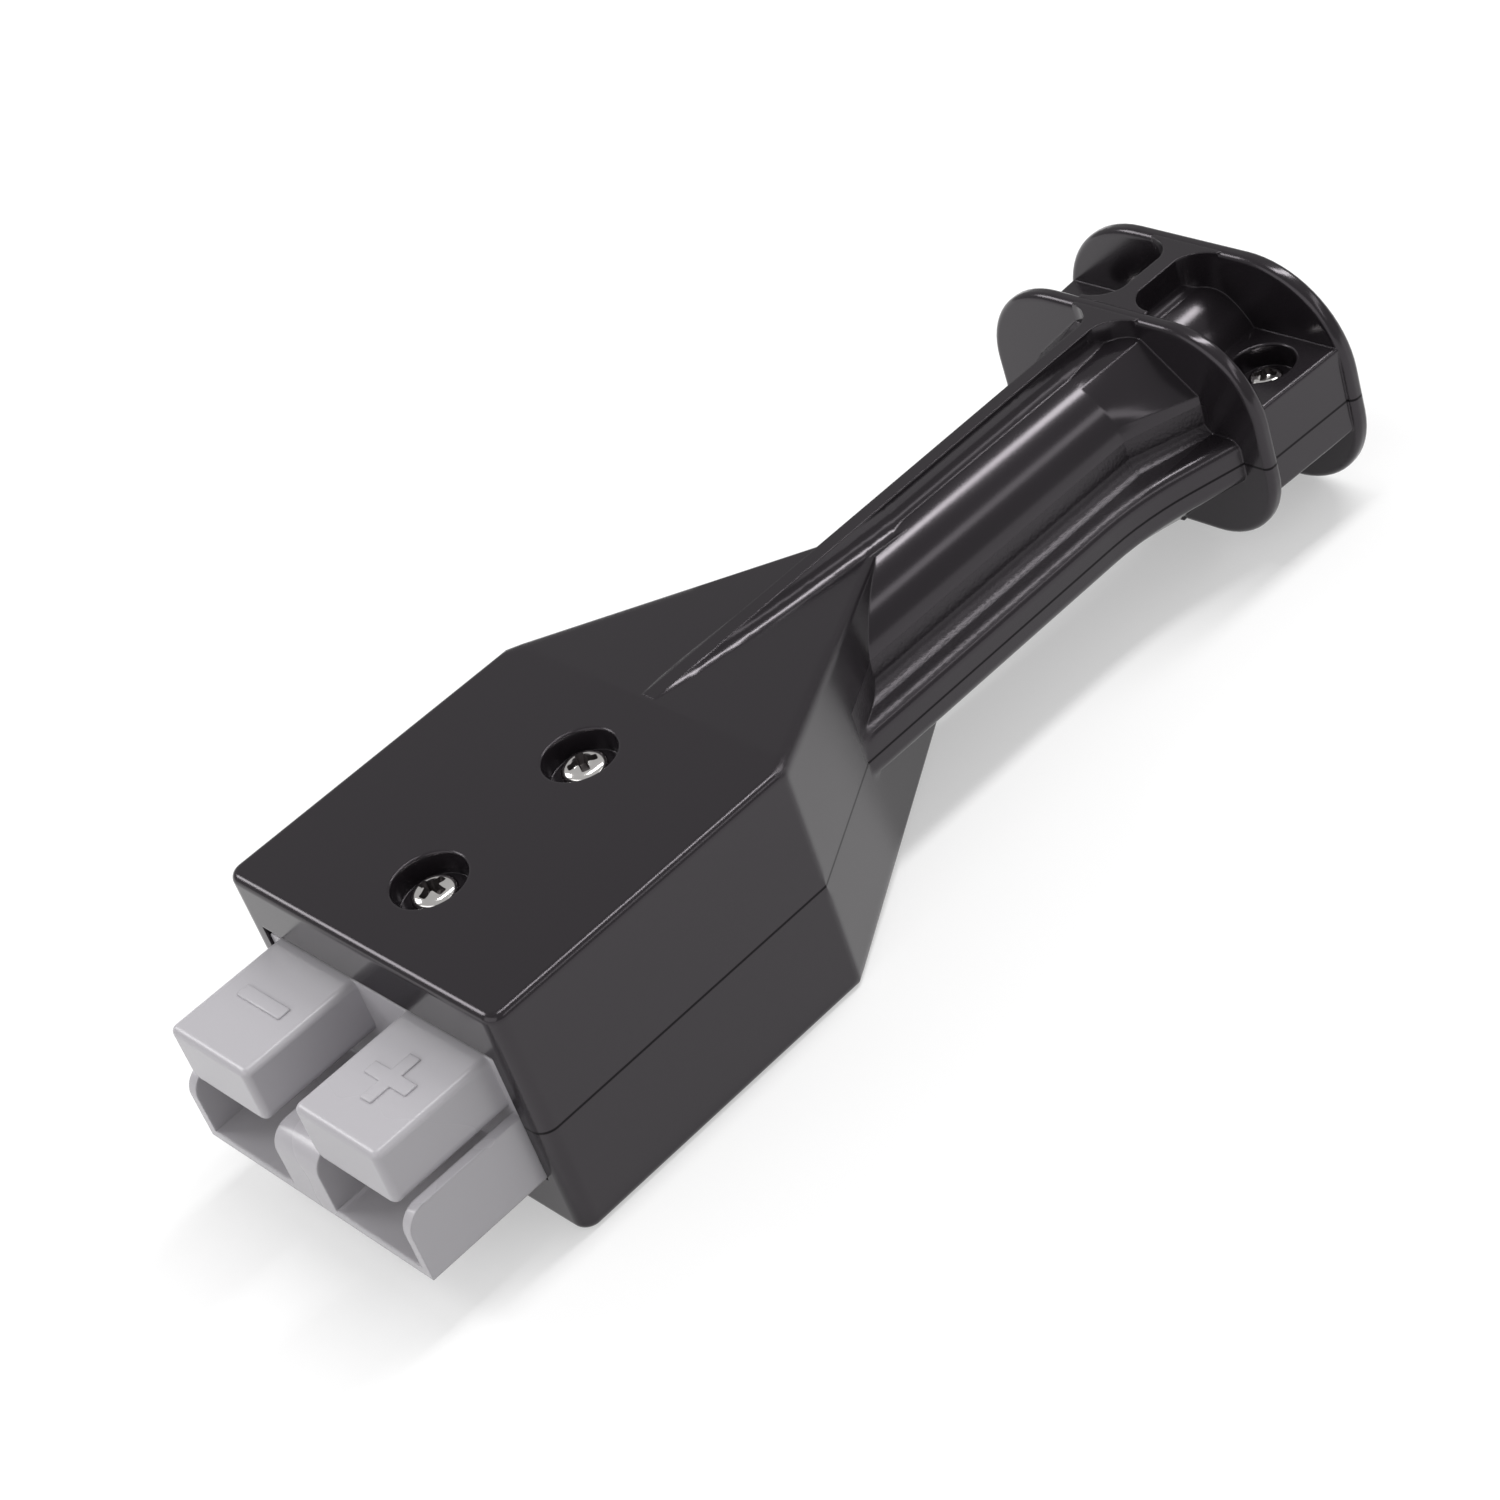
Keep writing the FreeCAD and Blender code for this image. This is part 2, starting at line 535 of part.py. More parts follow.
def inner_form(half):
    bay_end = SHOULDER_Y - TAPER_WALL
    bay = box(-BAY_HALF_WIDTH, BAY_HALF_WIDTH, FRONT_WALL, bay_end + OVERLAP, -OVERLAP, half.ceiling)
    mouth = box(-BAY_HALF_WIDTH, BAY_HALF_WIDTH, -OVERLAP, FRONT_WALL + OVERLAP, -OVERLAP, half.opening)
    tunnel_half = GRIP_HALF_WIDTH - GRIP_WALL
    taper_end = bay_end + (BAY_HALF_WIDTH - tunnel_half / 2) / TAPER_SLOPE
    end_ceiling = body_height(half, taper_end) - TOP_WALL
    side = prism([(-FAR, bay_end, -OVERLAP), (-FAR, bay_end, half.ceiling),
                  (-FAR, FALL_START_Y, half.ceiling), (-FAR, taper_end, end_ceiling),
                  (-FAR, taper_end, -OVERLAP)], (2 * FAR, 0, 0))
    plan = prism([(-BAY_HALF_WIDTH, bay_end, -FAR), (BAY_HALF_WIDTH, bay_end, -FAR),
                  (tunnel_half / 2, taper_end, -FAR), (-tunnel_half / 2, taper_end, -FAR)],
                 (0, 0, 2 * FAR))
    tunnel_start = SHOULDER_Y + TAPER_WALL
    tunnel = Part.Face(arch(tunnel_start, tunnel_half, half.grip_height - GRIP_WALL))
    tunnel = tunnel.extrude(V(0, TUNNEL_END_Y - tunnel_start, 0))
    tunnel = tunnel.fuse(box(-tunnel_half, tunnel_half, tunnel_start, TUNNEL_END_Y, -OVERLAP, OVERLAP))
    bore = rod_y(CABLE_RADIUS, 0, half.cable_z, TUNNEL_END_Y - OVERLAP, REAR_Y + OVERLAP)
    return joined([bay, mouth, side.common(plan), tunnel, bore])


def supports(half):
    """Ribs, screw bosses and rear stops that hold the grey housing."""
    seat = half.housing + SEAT_GAP
    roof = half.ceiling + OVERLAP
    wide = BAY_HALF_WIDTH + OVERLAP
    pieces = []
    for y in (RIB_FRONT_Y, RIB_REAR_Y):
        pieces.append(box(-wide, wide, y, y + RIB_THICKNESS, seat, roof))
    for y in (BODY_SCREW_FRONT_Y, BODY_SCREW_REAR_Y):
        pieces.append(rod_z(BODY_COUNTERBORE_RADIUS + BOSS_WALL, 0, y, seat, roof))
    stop_y = HOUSING_REAR_Y + FIT
    stop = box(BAY_HALF_WIDTH - STOP_WIDTH, wide, stop_y, stop_y + STOP_THICKNESS, 0, roof)
    pieces += [stop, mirrored_x(stop)]
    return pieces


def clamp_ribs(half):
    pieces = []
    middle_y = (SLAB_FRONT_Y + REAR_FLANGE_Y) / 2
    for index in range(CLAMP_RIB_COUNT):
        y = middle_y + (index - (CLAMP_RIB_COUNT - 1) / 2) * CLAMP_RIB_PITCH - CLAMP_RIB_WIDTH / 2
        ring = rod_y(CABLE_RADIUS + OVERLAP, 0, half.cable_z, y, y + CLAMP_RIB_WIDTH)
        ring = ring.cut(rod_y(CABLE_RADIUS - CLAMP_RIB_HEIGHT, 0, half.cable_z, y, y + CLAMP_RIB_WIDTH))
        pieces.append(ring.common(box(-FAR, FAR, y, y + CLAMP_RIB_WIDTH, 0, FAR)))
    return pieces


def shell_half(half, flanges):
    shell = outer_form(half, flanges).cut(inner_form(half))
    return joined([shell] + supports(half) + clamp_ribs(half))


# The two shells with their screw holes

@dataclass(frozen=True)
class Screw:
    """A pan-head screw with its nut, and the hole that both sit in."""

    name: str
    x: float
    y: float
    hole_top: float
    seat: float
    length: float
    radius: float
    head_radius: float
    head_height: float
    across_flats: float
    nut_thickness: float
    counterbore: float

    def nut_name(self):
        return self.name.replace("screw", "nut")

    def nut_top(self):
        return self.seat - self.length + self.nut_thickness


def body_screw(place, y):
    return Screw("body_screw_" + place, 0, y, BODY_TOP, BODY_SCREW_SEAT, BODY_SCREW_LENGTH, SCREW_RADIUS,
                 SCREW_HEAD_RADIUS, SCREW_HEAD_HEIGHT, NUT_ACROSS_FLATS, NUT_THICKNESS,
                 BODY_COUNTERBORE_RADIUS)


def flange_screw(place, x):
    return Screw("flange_screw_" + place, x, FLANGE_SCREW_Y, SLAB_TOP, FLANGE_SCREW_SEAT,
                 FLANGE_SCREW_LENGTH, FLANGE_SCREW_RADIUS, FLANGE_SCREW_HEAD_RADIUS,
                 FLANGE_SCREW_HEAD_HEIGHT, FLANGE_NUT_ACROSS_FLATS, FLANGE_NUT_THICKNESS,
                 FLANGE_COUNTERBORE_RADIUS)


def screws():
    return [body_screw("front", BODY_SCREW_FRONT_Y), body_screw("rear", BODY_SCREW_REAR_Y),
            flange_screw("left", -FLANGE_SCREW_X), flange_screw("right", FLANGE_SCREW_X)]


def hexagon(across_flats, x, y, z0, z1):
    radius = across_flats / math.sqrt(3)
    points = []
    for index in range(6):
        angle = math.radians(60 * index)
        points.append((x + radius * math.cos(angle), y + radius * math.sin(angle), z0))
    return prism(points, (0, 0, z1 - z0))


def counterbored(shell, part):
    """Screw hole and counterbore, with the counterbore's rim rounded."""
    shell = shell.cut(rod_z(part.radius + SCREW_CLEARANCE, part.x, part.y, -OVERLAP, part.seat + OVERLAP))
    shell = shell.cut(rod_z(part.counterbore, part.x, part.y, part.seat, BODY_TOP + OVERLAP))
    rim_edge = edges_where(shell, lambda b: b.ZMin > part.hole_top - OVERLAP
                           and abs(b.Center.x - part.x) < OVERLAP and abs(b.Center.y - part.y) < OVERLAP)
    return shell.makeFillet(COUNTERBORE_EDGE_ROUND, rim_edge)


def upper_shell():
    flanges = [flange(FRONT_FLANGE_Y, FRONT_FLANGE_HALF_WIDTH, SPINE_TOP, FRONT_FLANGE_CORNER),
               flange(REAR_FLANGE_Y, REAR_FLANGE_HALF_WIDTH, SPINE_TOP, REAR_FLANGE_CORNER)]
    shell = shell_half(UPPER, flanges)
    for part in screws():
        shell = counterbored(shell, part)
    return shell


def lower_shell():
    flanges = [flange(FRONT_FLANGE_Y, FRONT_FLANGE_HALF_WIDTH, FRONT_FLANGE_DEPTH,
                      FRONT_FLANGE_LOWER_CORNER),
               flange(REAR_FLANGE_Y, REAR_FLANGE_HALF_WIDTH, REAR_FLANGE_DEPTH,
                      REAR_FLANGE_LOWER_CORNER)]
    shell = mirrored_z(shell_half(LOWER, flanges))
    for part in screws():
        top = part.nut_top()
        shell = shell.cut(rod_z(part.radius + SCREW_CLEARANCE, part.x, part.y, top - OVERLAP, OVERLAP))
        shell = shell.cut(hexagon(part.across_flats + 2 * FIT, part.x, part.y, -BODY_DEPTH - OVERLAP, top))
    return shell


# Fasteners

def screw(part):
    """Pan head with a crossed recess on a plain shank."""
    head_top = part.seat + part.head_height
    dome_rise = part.head_height * DOME_SHARE
    dome_start = head_top - dome_rise
    dome_radius = (part.head_radius ** 2 + dome_rise ** 2) / (2 * dome_rise)
    turn = math.asin(part.head_radius / dome_radius) / 2
    crown_x = dome_radius * math.sin(turn)
    crown_z = head_top - dome_radius * (1 - math.cos(turn))
    tip = part.seat - part.length
    edges = [line(V(0, 0, tip), V(part.radius, 0, tip)),
             line(V(part.radius, 0, tip), V(part.radius, 0, part.seat)),
             line(V(part.radius, 0, part.seat), V(part.head_radius, 0, part.seat)),
             line(V(part.head_radius, 0, part.seat), V(part.head_radius, 0, dome_start)),
             arc(V(part.head_radius, 0, dome_start), V(crown_x, 0, crown_z), V(0, 0, head_top)),
             line(V(0, 0, head_top), V(0, 0, tip))]
    blank = filled(edges).revolve(V(0, 0, 0), V(0, 0, 1), 360)
    reach = part.head_radius * RECESS_SHARE
    half = part.head_radius * RECESS_WIDTH_SHARE / 2
    floor = head_top - part.head_height * RECESS_DEPTH_SHARE
    arm = box(-reach, reach, -half, half, floor, head_top + OVERLAP)
    cross_arm = arm.copy()
    cross_arm.rotate(V(0, 0, 0), V(0, 0, 1), 90)
    blank = blank.cut(arm).cut(cross_arm)
    blank.translate(V(part.x, part.y, 0))
    return blank


def nut(part):
    bottom = part.nut_top() - part.nut_thickness
    bore = rod_z(part.radius, part.x, part.y, bottom - OVERLAP, part.nut_top() + OVERLAP)
    return hexagon(part.across_flats, part.x, part.y, bottom, part.nut_top()).cut(bore)


# Grey genderless housing

def hood():
    """Hood on the right-hand side, open below."""
    block = box(HOOD_INNER_X, HOOD_OUTER_X, HOOD_FRONT_Y, HOUSING_BODY_FRONT_Y + OVERLAP,
                MATE_PLANE, HOUSING_TOP)
    lower = edges_where(block, lambda b: b.ZMax < MATE_PLANE + OVERLAP and b.YLength > OVERLAP)
    block = block.makeFillet(HOOD_LOWER_ROUND, lower)
    front = edges_where(block, lambda b: b.YMax < HOOD_FRONT_Y + OVERLAP)
    upper = edges_where(block, lambda b: b.ZMin > HOUSING_TOP - OVERLAP and b.YLength > OVERLAP)
    block = block.makeFillet(HOOD_EDGE_ROUND, front + upper)
    return block.cut(box(HOOD_INNER_X + HOOD_WALL, HOOD_OUTER_X - HOOD_WALL, HOOD_ROOM_Y,
                         HOUSING_BODY_FRONT_Y, MATE_PLANE - OVERLAP, HOUSING_TOP - HOOD_WALL))


def tray_wall(x0, x1):
    """Upright wall of the tray up to the mating plane, with a rounded nose."""
    wall = box(x0, x1, -TRAY_FRONT, HOUSING_BODY_FRONT_Y + OVERLAP, -HOUSING_DEPTH, MATE_PLANE)
    nose = edges_where(wall, lambda b: b.ZMin > MATE_PLANE - OVERLAP and b.YMax < OVERLAP - TRAY_FRONT)
    return wall.makeFillet(TRAY_NOSE_ROUND, nose)


def connector_housing():
    body = box(-HOUSING_HALF_WIDTH, HOUSING_HALF_WIDTH, HOUSING_BODY_FRONT_Y, HOUSING_REAR_Y,
               -HOUSING_DEPTH, HOUSING_TOP)
    long_edges = edges_where(body, lambda b: b.YLength > OVERLAP)
    body = body.makeFillet(HOUSING_EDGE_ROUND, long_edges)
    floor = box(-HOUSING_HALF_WIDTH, HOUSING_HALF_WIDTH, -TRAY_FRONT, HOUSING_BODY_FRONT_Y + OVERLAP,
                -HOUSING_DEPTH, TRAY_FLOOR_TOP)
    centre = tray_wall(-CENTRE_WALL_HALF, CENTRE_WALL_HALF)
    right_hood = hood()
    right_side = tray_wall(HOUSING_HALF_WIDTH - TRAY_WALL, HOUSING_HALF_WIDTH)
    housing = joined([body, floor, centre, right_hood, mirrored_x(right_hood),
                      right_side, mirrored_x(right_side)])
    for side in (-1, 1):
        x = side * HOOD_CENTRE_X
        housing = housing.cut(rod_y(BARREL_HOLE_RADIUS, x, BARREL_Z, BARREL_FRONT_Y - OVERLAP,
                                    HOUSING_REAR_Y + OVERLAP))
        slot_half = (HOOD_OUTER_X - HOOD_INNER_X) / 2 - HOOD_WALL
        slot_bottom = TONGUE_BOTTOM - FIT
        housing = housing.cut(box(x - slot_half, x + slot_half, HOUSING_BODY_FRONT_Y - OVERLAP,
                                  SPRING_REAR_Y, slot_bottom, HOUSING_TOP - HOOD_WALL))
        tongue_half = TONGUE_WIDTH / 2 + FIT
        housing = housing.cut(box(x - tongue_half, x + tongue_half, HOUSING_BODY_FRONT_Y - OVERLAP,
                                  BARREL_FRONT_Y, slot_bottom, TONGUE_TOP + FIT))
    hole_radius = SCREW_RADIUS + SCREW_CLEARANCE
    for y in (BODY_SCREW_FRONT_Y, BODY_SCREW_REAR_Y):
        housing = housing.cut(rod_z(hole_radius, 0, y, -HOUSING_DEPTH - OVERLAP, HOUSING_TOP + OVERLAP))
    return housing.cut(box(-hole_radius, hole_radius, BODY_SCREW_REAR_Y, HOUSING_REAR_Y + OVERLAP,
                           -HOUSING_DEPTH - OVERLAP, HOUSING_TOP + OVERLAP))


# Contacts and springs

def contact(x):
    tip = HOOD_ROOM_Y + TONGUE_SETBACK
    hook = tip + TONGUE_HOOK
    half = TONGUE_WIDTH / 2
    tongue = prism([(x - half, hook, TONGUE_BOTTOM), (x - half, BARREL_FRONT_Y + OVERLAP, TONGUE_BOTTOM),
                    (x - half, BARREL_FRONT_Y + OVERLAP, TONGUE_TOP), (x - half, hook, TONGUE_TOP),
                    (x - half, tip, TONGUE_TOP + TONGUE_HOOK / 2),
                    (x - half, tip, TONGUE_BOTTOM + TONGUE_HOOK / 2)], (TONGUE_WIDTH, 0, 0))
    barrel = rod_y(BARREL_RADIUS, x, BARREL_Z, BARREL_FRONT_Y, BARREL_FRONT_Y + BARREL_LENGTH)
    trimmed = box(x - BARREL_RADIUS / 2, x + BARREL_RADIUS / 2, BARREL_FRONT_Y - FIT,
                  BARREL_FRONT_Y + OVERLAP, TONGUE_BOTTOM, TONGUE_TOP)
    tongue = tongue.cut(box(x - FAR, x + FAR, BARREL_FRONT_Y - FIT, FAR, -FAR, FAR)).fuse(trimmed)
    bore = rod_y(BARREL_BORE, x, BARREL_Z, BARREL_FRONT_Y + BARREL_RADIUS / 2,
                 BARREL_FRONT_Y + BARREL_LENGTH + OVERLAP)
    return joined([tongue, barrel]).cut(bore)


def contact_spring(x):
    """Leaf that rises from the tongue's top to the roof of the hood."""
    front = HOOD_ROOM_Y + SPRING_FRONT_GAP
    rear = SPRING_REAR_Y
    middle = (front + rear) / 2
    side = x - SPRING_WIDTH / 2
    top = HOUSING_TOP - HOOD_WALL
    under = top - SPRING_THICKNESS
    edges = [arc(V(side, front, under), V(side, middle, TONGUE_TOP), V(side, rear, under)),
             line(V(side, rear, under), V(side, rear, top)),
             arc(V(side, rear, top), V(side, middle, TONGUE_TOP + SPRING_THICKNESS), V(side, front, top)),
             line(V(side, front, top), V(side, front, under))]
    return filled(edges).extrude(V(SPRING_WIDTH, 0, 0))


def export(name, shape):
    shape.exportStep(os.path.join("parts", name + ".step"))


def main():
    os.makedirs("parts", exist_ok=True)
    export("upper_shell", upper_shell())
    export("lower_shell", lower_shell())
    export("connector_housing", connector_housing())
    for side, x in (("left", -HOOD_CENTRE_X), ("right", HOOD_CENTRE_X)):
        export("contact_" + side, contact(x))
        export("contact_spring_" + side, contact_spring(x))
    for part in screws():
        export(part.name, screw(part))
        export(part.nut_name(), nut(part))


main()
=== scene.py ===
"""Looks of a genderless two-pole power connector in a black two-shell handle."""

import json
import logging
import math
from dataclasses import dataclass
from enum import Enum

import bmesh
import bpy
from mathutils import Matrix, Vector


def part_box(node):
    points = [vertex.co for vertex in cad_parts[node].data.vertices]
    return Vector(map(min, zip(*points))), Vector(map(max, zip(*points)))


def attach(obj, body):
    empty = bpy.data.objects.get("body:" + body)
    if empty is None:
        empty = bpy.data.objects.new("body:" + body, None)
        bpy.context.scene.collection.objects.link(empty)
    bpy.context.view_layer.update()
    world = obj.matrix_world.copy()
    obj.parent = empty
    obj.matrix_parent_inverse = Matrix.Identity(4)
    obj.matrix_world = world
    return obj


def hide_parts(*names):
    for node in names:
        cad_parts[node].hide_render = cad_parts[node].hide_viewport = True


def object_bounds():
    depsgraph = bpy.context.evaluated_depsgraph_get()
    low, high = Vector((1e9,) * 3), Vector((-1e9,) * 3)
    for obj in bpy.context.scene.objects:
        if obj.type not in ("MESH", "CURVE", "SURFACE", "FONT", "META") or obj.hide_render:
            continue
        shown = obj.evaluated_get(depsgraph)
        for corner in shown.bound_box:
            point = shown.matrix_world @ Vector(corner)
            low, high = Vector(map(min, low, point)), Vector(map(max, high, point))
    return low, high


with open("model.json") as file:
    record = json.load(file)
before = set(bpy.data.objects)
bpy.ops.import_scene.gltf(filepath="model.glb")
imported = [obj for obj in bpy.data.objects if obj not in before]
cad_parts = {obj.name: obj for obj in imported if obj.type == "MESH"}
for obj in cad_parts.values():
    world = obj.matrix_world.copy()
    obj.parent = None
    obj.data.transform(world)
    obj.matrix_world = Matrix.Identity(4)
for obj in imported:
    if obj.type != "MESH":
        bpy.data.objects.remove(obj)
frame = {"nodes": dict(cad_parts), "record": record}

LOG = logging.getLogger("connector")
BODY = "root"
MM = 0.001
SHARP_ANGLE = math.radians(32)
BEVEL_SAMPLES = 6
Value = bpy.types.NodeSocket | float
CAD_BOX = [list(corner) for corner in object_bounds()]


class Place(Enum):
    """Shader sockets that a finish drives."""

    COLOUR = "Base Color"
    ROUGHNESS = "Roughness"
    NORMAL = "Normal"
    SPECULAR = "Specular IOR Level"


def add_mesh(name: str, mesh: bpy.types.Mesh) -> bpy.types.Object:
    """Puts a mesh into the scene as an object.

    Args:
        name: the object's name.
        mesh: its mesh.

    Returns:
        The new object.
    """
    piece = bpy.data.objects.new(name, mesh)
    bpy.context.scene.collection.objects.link(piece)
    return piece


def mesh_from(name: str, shape: bmesh.types.BMesh) -> bpy.types.Mesh:
    """Turns a bmesh into a mesh with outward normals, smooth but for its sharp edges.

    Args:
        name: the mesh's name.
        shape: the bmesh, which is freed.

    Returns:
        The mesh.
    """
    bmesh.ops.recalc_face_normals(shape, faces=shape.faces)
    mesh = bpy.data.meshes.new(name)
    shape.to_mesh(mesh)
    shape.free()
    mark_sharp(mesh)
    return mesh


def mark_sharp(mesh: bpy.types.Mesh) -> None:
    """Shades a mesh smooth and keeps its edges over SHARP_ANGLE crisp."""
    shape = bmesh.new()
    shape.from_mesh(mesh)
    for face in shape.faces:
        face.smooth = True
    for edge in shape.edges:
        edge.smooth = edge.is_manifold and edge.calc_face_angle(0.0) < SHARP_ANGLE
    shape.to_mesh(mesh)
    shape.free()


def apply_modifiers(piece: bpy.types.Object) -> None:
    """Turns a piece's modifiers into its mesh."""
    graph = bpy.context.evaluated_depsgraph_get()
    made = bpy.data.meshes.new_from_object(piece.evaluated_get(graph))
    piece.modifiers.clear()
    piece.data = made


def fuse(piece: bpy.types.Object, mesh: bpy.types.Mesh, operation: str) -> None:
    """Joins a mesh to a piece, or cuts it out.

    Args:
        piece: the piece that is changed.
        mesh: the mesh to join or to cut with.
        operation: the Boolean modifier's operation, such as UNION.
    """
    tool = add_mesh(mesh.name, mesh)
    change = piece.modifiers.new("change", "BOOLEAN")
    change.operation = operation
    change.solver = "EXACT"
    change.material_mode = "TRANSFER"
    change.object = tool
    apply_modifiers(piece)
    bpy.data.objects.remove(tool)


# Shader trees and node groups

class ShaderTree:
    """A node tree under construction."""

    def __init__(self, tree: bpy.types.NodeTree) -> None:
        """Keeps the tree that nodes are added to."""
        self.tree = tree

    def node(self, kind: str, **settings: object) -> bpy.types.Node:
        """Adds a node to the tree and sets its attributes."""
        made = self.tree.nodes.new("ShaderNode" + kind)
        for key, value in settings.items():
            setattr(made, key, value)
        return made

    def link(self, source: bpy.types.NodeSocket, target: bpy.types.NodeSocket) -> None:
        """Links two sockets of the tree."""
        self.tree.links.new(source, target)

    def feed(self, value: Value, target: bpy.types.NodeSocket) -> None:
        """Links a socket into a target socket, or writes a number there."""
        if isinstance(value, bpy.types.NodeSocket):
            self.link(value, target)
        else:
            target.default_value = value

    def math(self, operation: str, *values: Value) -> bpy.types.NodeSocket:
        """Adds a math node.

        Args:
            operation: the node's operation.
            values: its inputs in order, each a socket or a number.

        Returns:
            The node's output socket.
        """
        made = self.node("Math", operation=operation)
        for value, target in zip(values, made.inputs):
            self.feed(value, target)
        return made.outputs[0]

    def clamp(self, value: bpy.types.NodeSocket) -> bpy.types.NodeSocket:
        """Keeps a value between 0 and 1."""
        made = self.node("Clamp")
        self.link(value, made.inputs["Value"])
        return made.outputs[0]

    def span(self, source: bpy.types.NodeSocket, low: float, high: float,
             start: float = 0.0, end: float = 1.0) -> bpy.types.NodeSocket:
        """Maps a value from start..end to low..high.

        Args:
            source: the value.
            low: the result at the start.
            high: the result at the end.
            start: the value's start.
            end: the value's end.

        Returns:
            The mapped value.
        """
        made = self.node("MapRange")
        for name, value in (("From Min", start), ("From Max", end),
                            ("To Min", low), ("To Max", high)):
            made.inputs[name].default_value = value
        self.link(source, made.inputs["Value"])
        return made.outputs["Result"]

    def place(self) -> bpy.types.NodeSocket:
        """Gives the point on the piece, in metres."""
        return self.node("TexCoord").outputs["Object"]

    def axes(self) -> tuple[bpy.types.NodeSocket, ...]:
        """Gives the x, y and z of the point on the piece."""
        made = self.node("SeparateXYZ")
        self.link(self.place(), made.inputs[0])
        return tuple(made.outputs)

    def noise(self, scale: Value, detail: float) -> bpy.types.NodeSocket:
        """Adds a noise over the piece.

        Args:
            scale: how many features go on a metre.
            detail: the noise's octaves.

        Returns:
            The noise, from 0 to 1.
        """
        made = self.node("TexNoise", noise_dimensions="3D")
        made.inputs["Detail"].default_value = detail
        self.link(self.place(), made.inputs["Vector"])
        self.feed(scale, made.inputs["Scale"])
        return made.outputs["Fac"]


class ShaderGroup(ShaderTree):
    """A shared shader effect, built once and placed in several materials."""

    def __init__(self, name: str, inputs: dict[str, float], outputs: tuple[str, ...]) -> None:
        """Makes the group's tree.

        Args:
            name: the group's name.
            inputs: the names of its inputs, each with its default.
            outputs: the names of its outputs.
        """
        super().__init__(bpy.data.node_groups.new(name, "ShaderNodeTree"))
        for socket, default in inputs.items():
            self.tree.interface.new_socket(
                name=socket, in_out="INPUT", socket_type="NodeSocketFloat").default_value = default
        for socket in outputs:
            self.tree.interface.new_socket(
                name=socket, in_out="OUTPUT", socket_type="NodeSocketFloat")
        self.given = self.tree.nodes.new("NodeGroupInput").outputs
        self.results = self.tree.nodes.new("NodeGroupOutput").inputs


def moulded_grain_group() -> bpy.types.NodeTree:
    """Fine moulded skin: a height for bump and a slow mottle for gloss.

    Returns:
        The group's tree.
    """
    group = ShaderGroup("moulded_grain",
                        {"Grain Scale": 900.0, "Wave Scale": 60.0, "Wave Share": 0.6},
                        ("Height", "Mottle"))
    grain = group.noise(group.given["Grain Scale"], 3.0)
    wave = group.noise(group.given["Wave Scale"], 2.0)
    share = group.given["Wave Share"]
    waves = group.math("MULTIPLY", wave, share)
    rest = group.math("SUBTRACT", 1.0, share)
    group.link(group.math("MULTIPLY_ADD", grain, rest, waves), group.results["Height"])
    group.link(wave, group.results["Mottle"])
    return group.tree


def seam_group() -> bpy.types.NodeTree:
    """Mask of a thin line at one height, such as the parting line.

    Returns:
        The group's tree.
    """
    group = ShaderGroup("seam_line", {"Level": 0.0, "Half Width": 0.1 * MM, "Crispness": 2.0},
                        ("Mask",))
    height = group.axes()[2]
    away = group.math("ABSOLUTE", group.math("SUBTRACT", height, group.given["Level"]))
    inside = group.math("SUBTRACT", 1.0, group.math("DIVIDE", away, group.given["Half Width"]))
    crisp = group.math("MULTIPLY", inside, group.given["Crispness"])
    group.link(group.clamp(crisp), group.results["Mask"])
    return group.tree


def edge_radius_group() -> bpy.types.NodeTree:
    """Radius of the shells' rounded edges: large on the taper, none at the parting line.

    Returns:
        The group's tree.
    """
    group = ShaderGroup("edge_radius", {
        "Base": 0.28 * MM, "Extra": 1.20 * MM, "Centre Y": 47.0 * MM, "Half Reach": 9.5 * MM,
        "Fade": 1.0 * MM, "Inner X": 7.5 * MM, "Seam Slope": 0.8}, ("Radius",))
    given = group.given
    x, y, z = group.axes()
    along = group.math("ABSOLUTE", group.math("SUBTRACT", y, given["Centre Y"]))
    spare = group.math("SUBTRACT", given["Half Reach"], along)
    taper = group.clamp(group.math("DIVIDE", spare, given["Fade"]))
    outside = group.math("GREATER_THAN", group.math("ABSOLUTE", x), given["Inner X"])
    share = group.math("MULTIPLY", taper, outside)
    wanted = group.math("MULTIPLY_ADD", given["Extra"], share, given["Base"])
    limit = group.math("MULTIPLY", group.math("ABSOLUTE", z), given["Seam Slope"])
    group.link(group.math("MINIMUM", wanted, limit), group.results["Radius"])
    return group.tree


def ledge_specks_group() -> bpy.types.NodeTree:
    """Height of fine specks along the ledges beside the grip, and the ledges' mask.

    Returns:
        The group's tree.
    """
    group = ShaderGroup("ledge_specks", {
        "Speck Scale": 2600.0, "Inner X": 7.4 * MM, "Outer X": 12.2 * MM, "Low Z": 2.6 * MM,
        "High Z": 6.6 * MM, "Start Y": 50.0 * MM, "End Y": 113.0 * MM}, ("Height", "Mask"))
    x, y, z = group.axes()
    mask = None
    for value, low, high in ((group.math("ABSOLUTE", x), "Inner X", "Outer X"),
                             (y, "Start Y", "End Y"), (z, "Low Z", "High Z")):
        inside = group.math("MULTIPLY", group.math("GREATER_THAN", value, group.given[low]),
                            group.math("LESS_THAN", value, group.given[high]))
        mask = group.math("MULTIPLY", mask, inside) if mask else inside
    speck = group.noise(group.given["Speck Scale"], 2.0)
    group.link(group.math("MULTIPLY", mask, speck), group.results["Height"])
    group.link(mask, group.results["Mask"])
    return group.tree


# Finishes

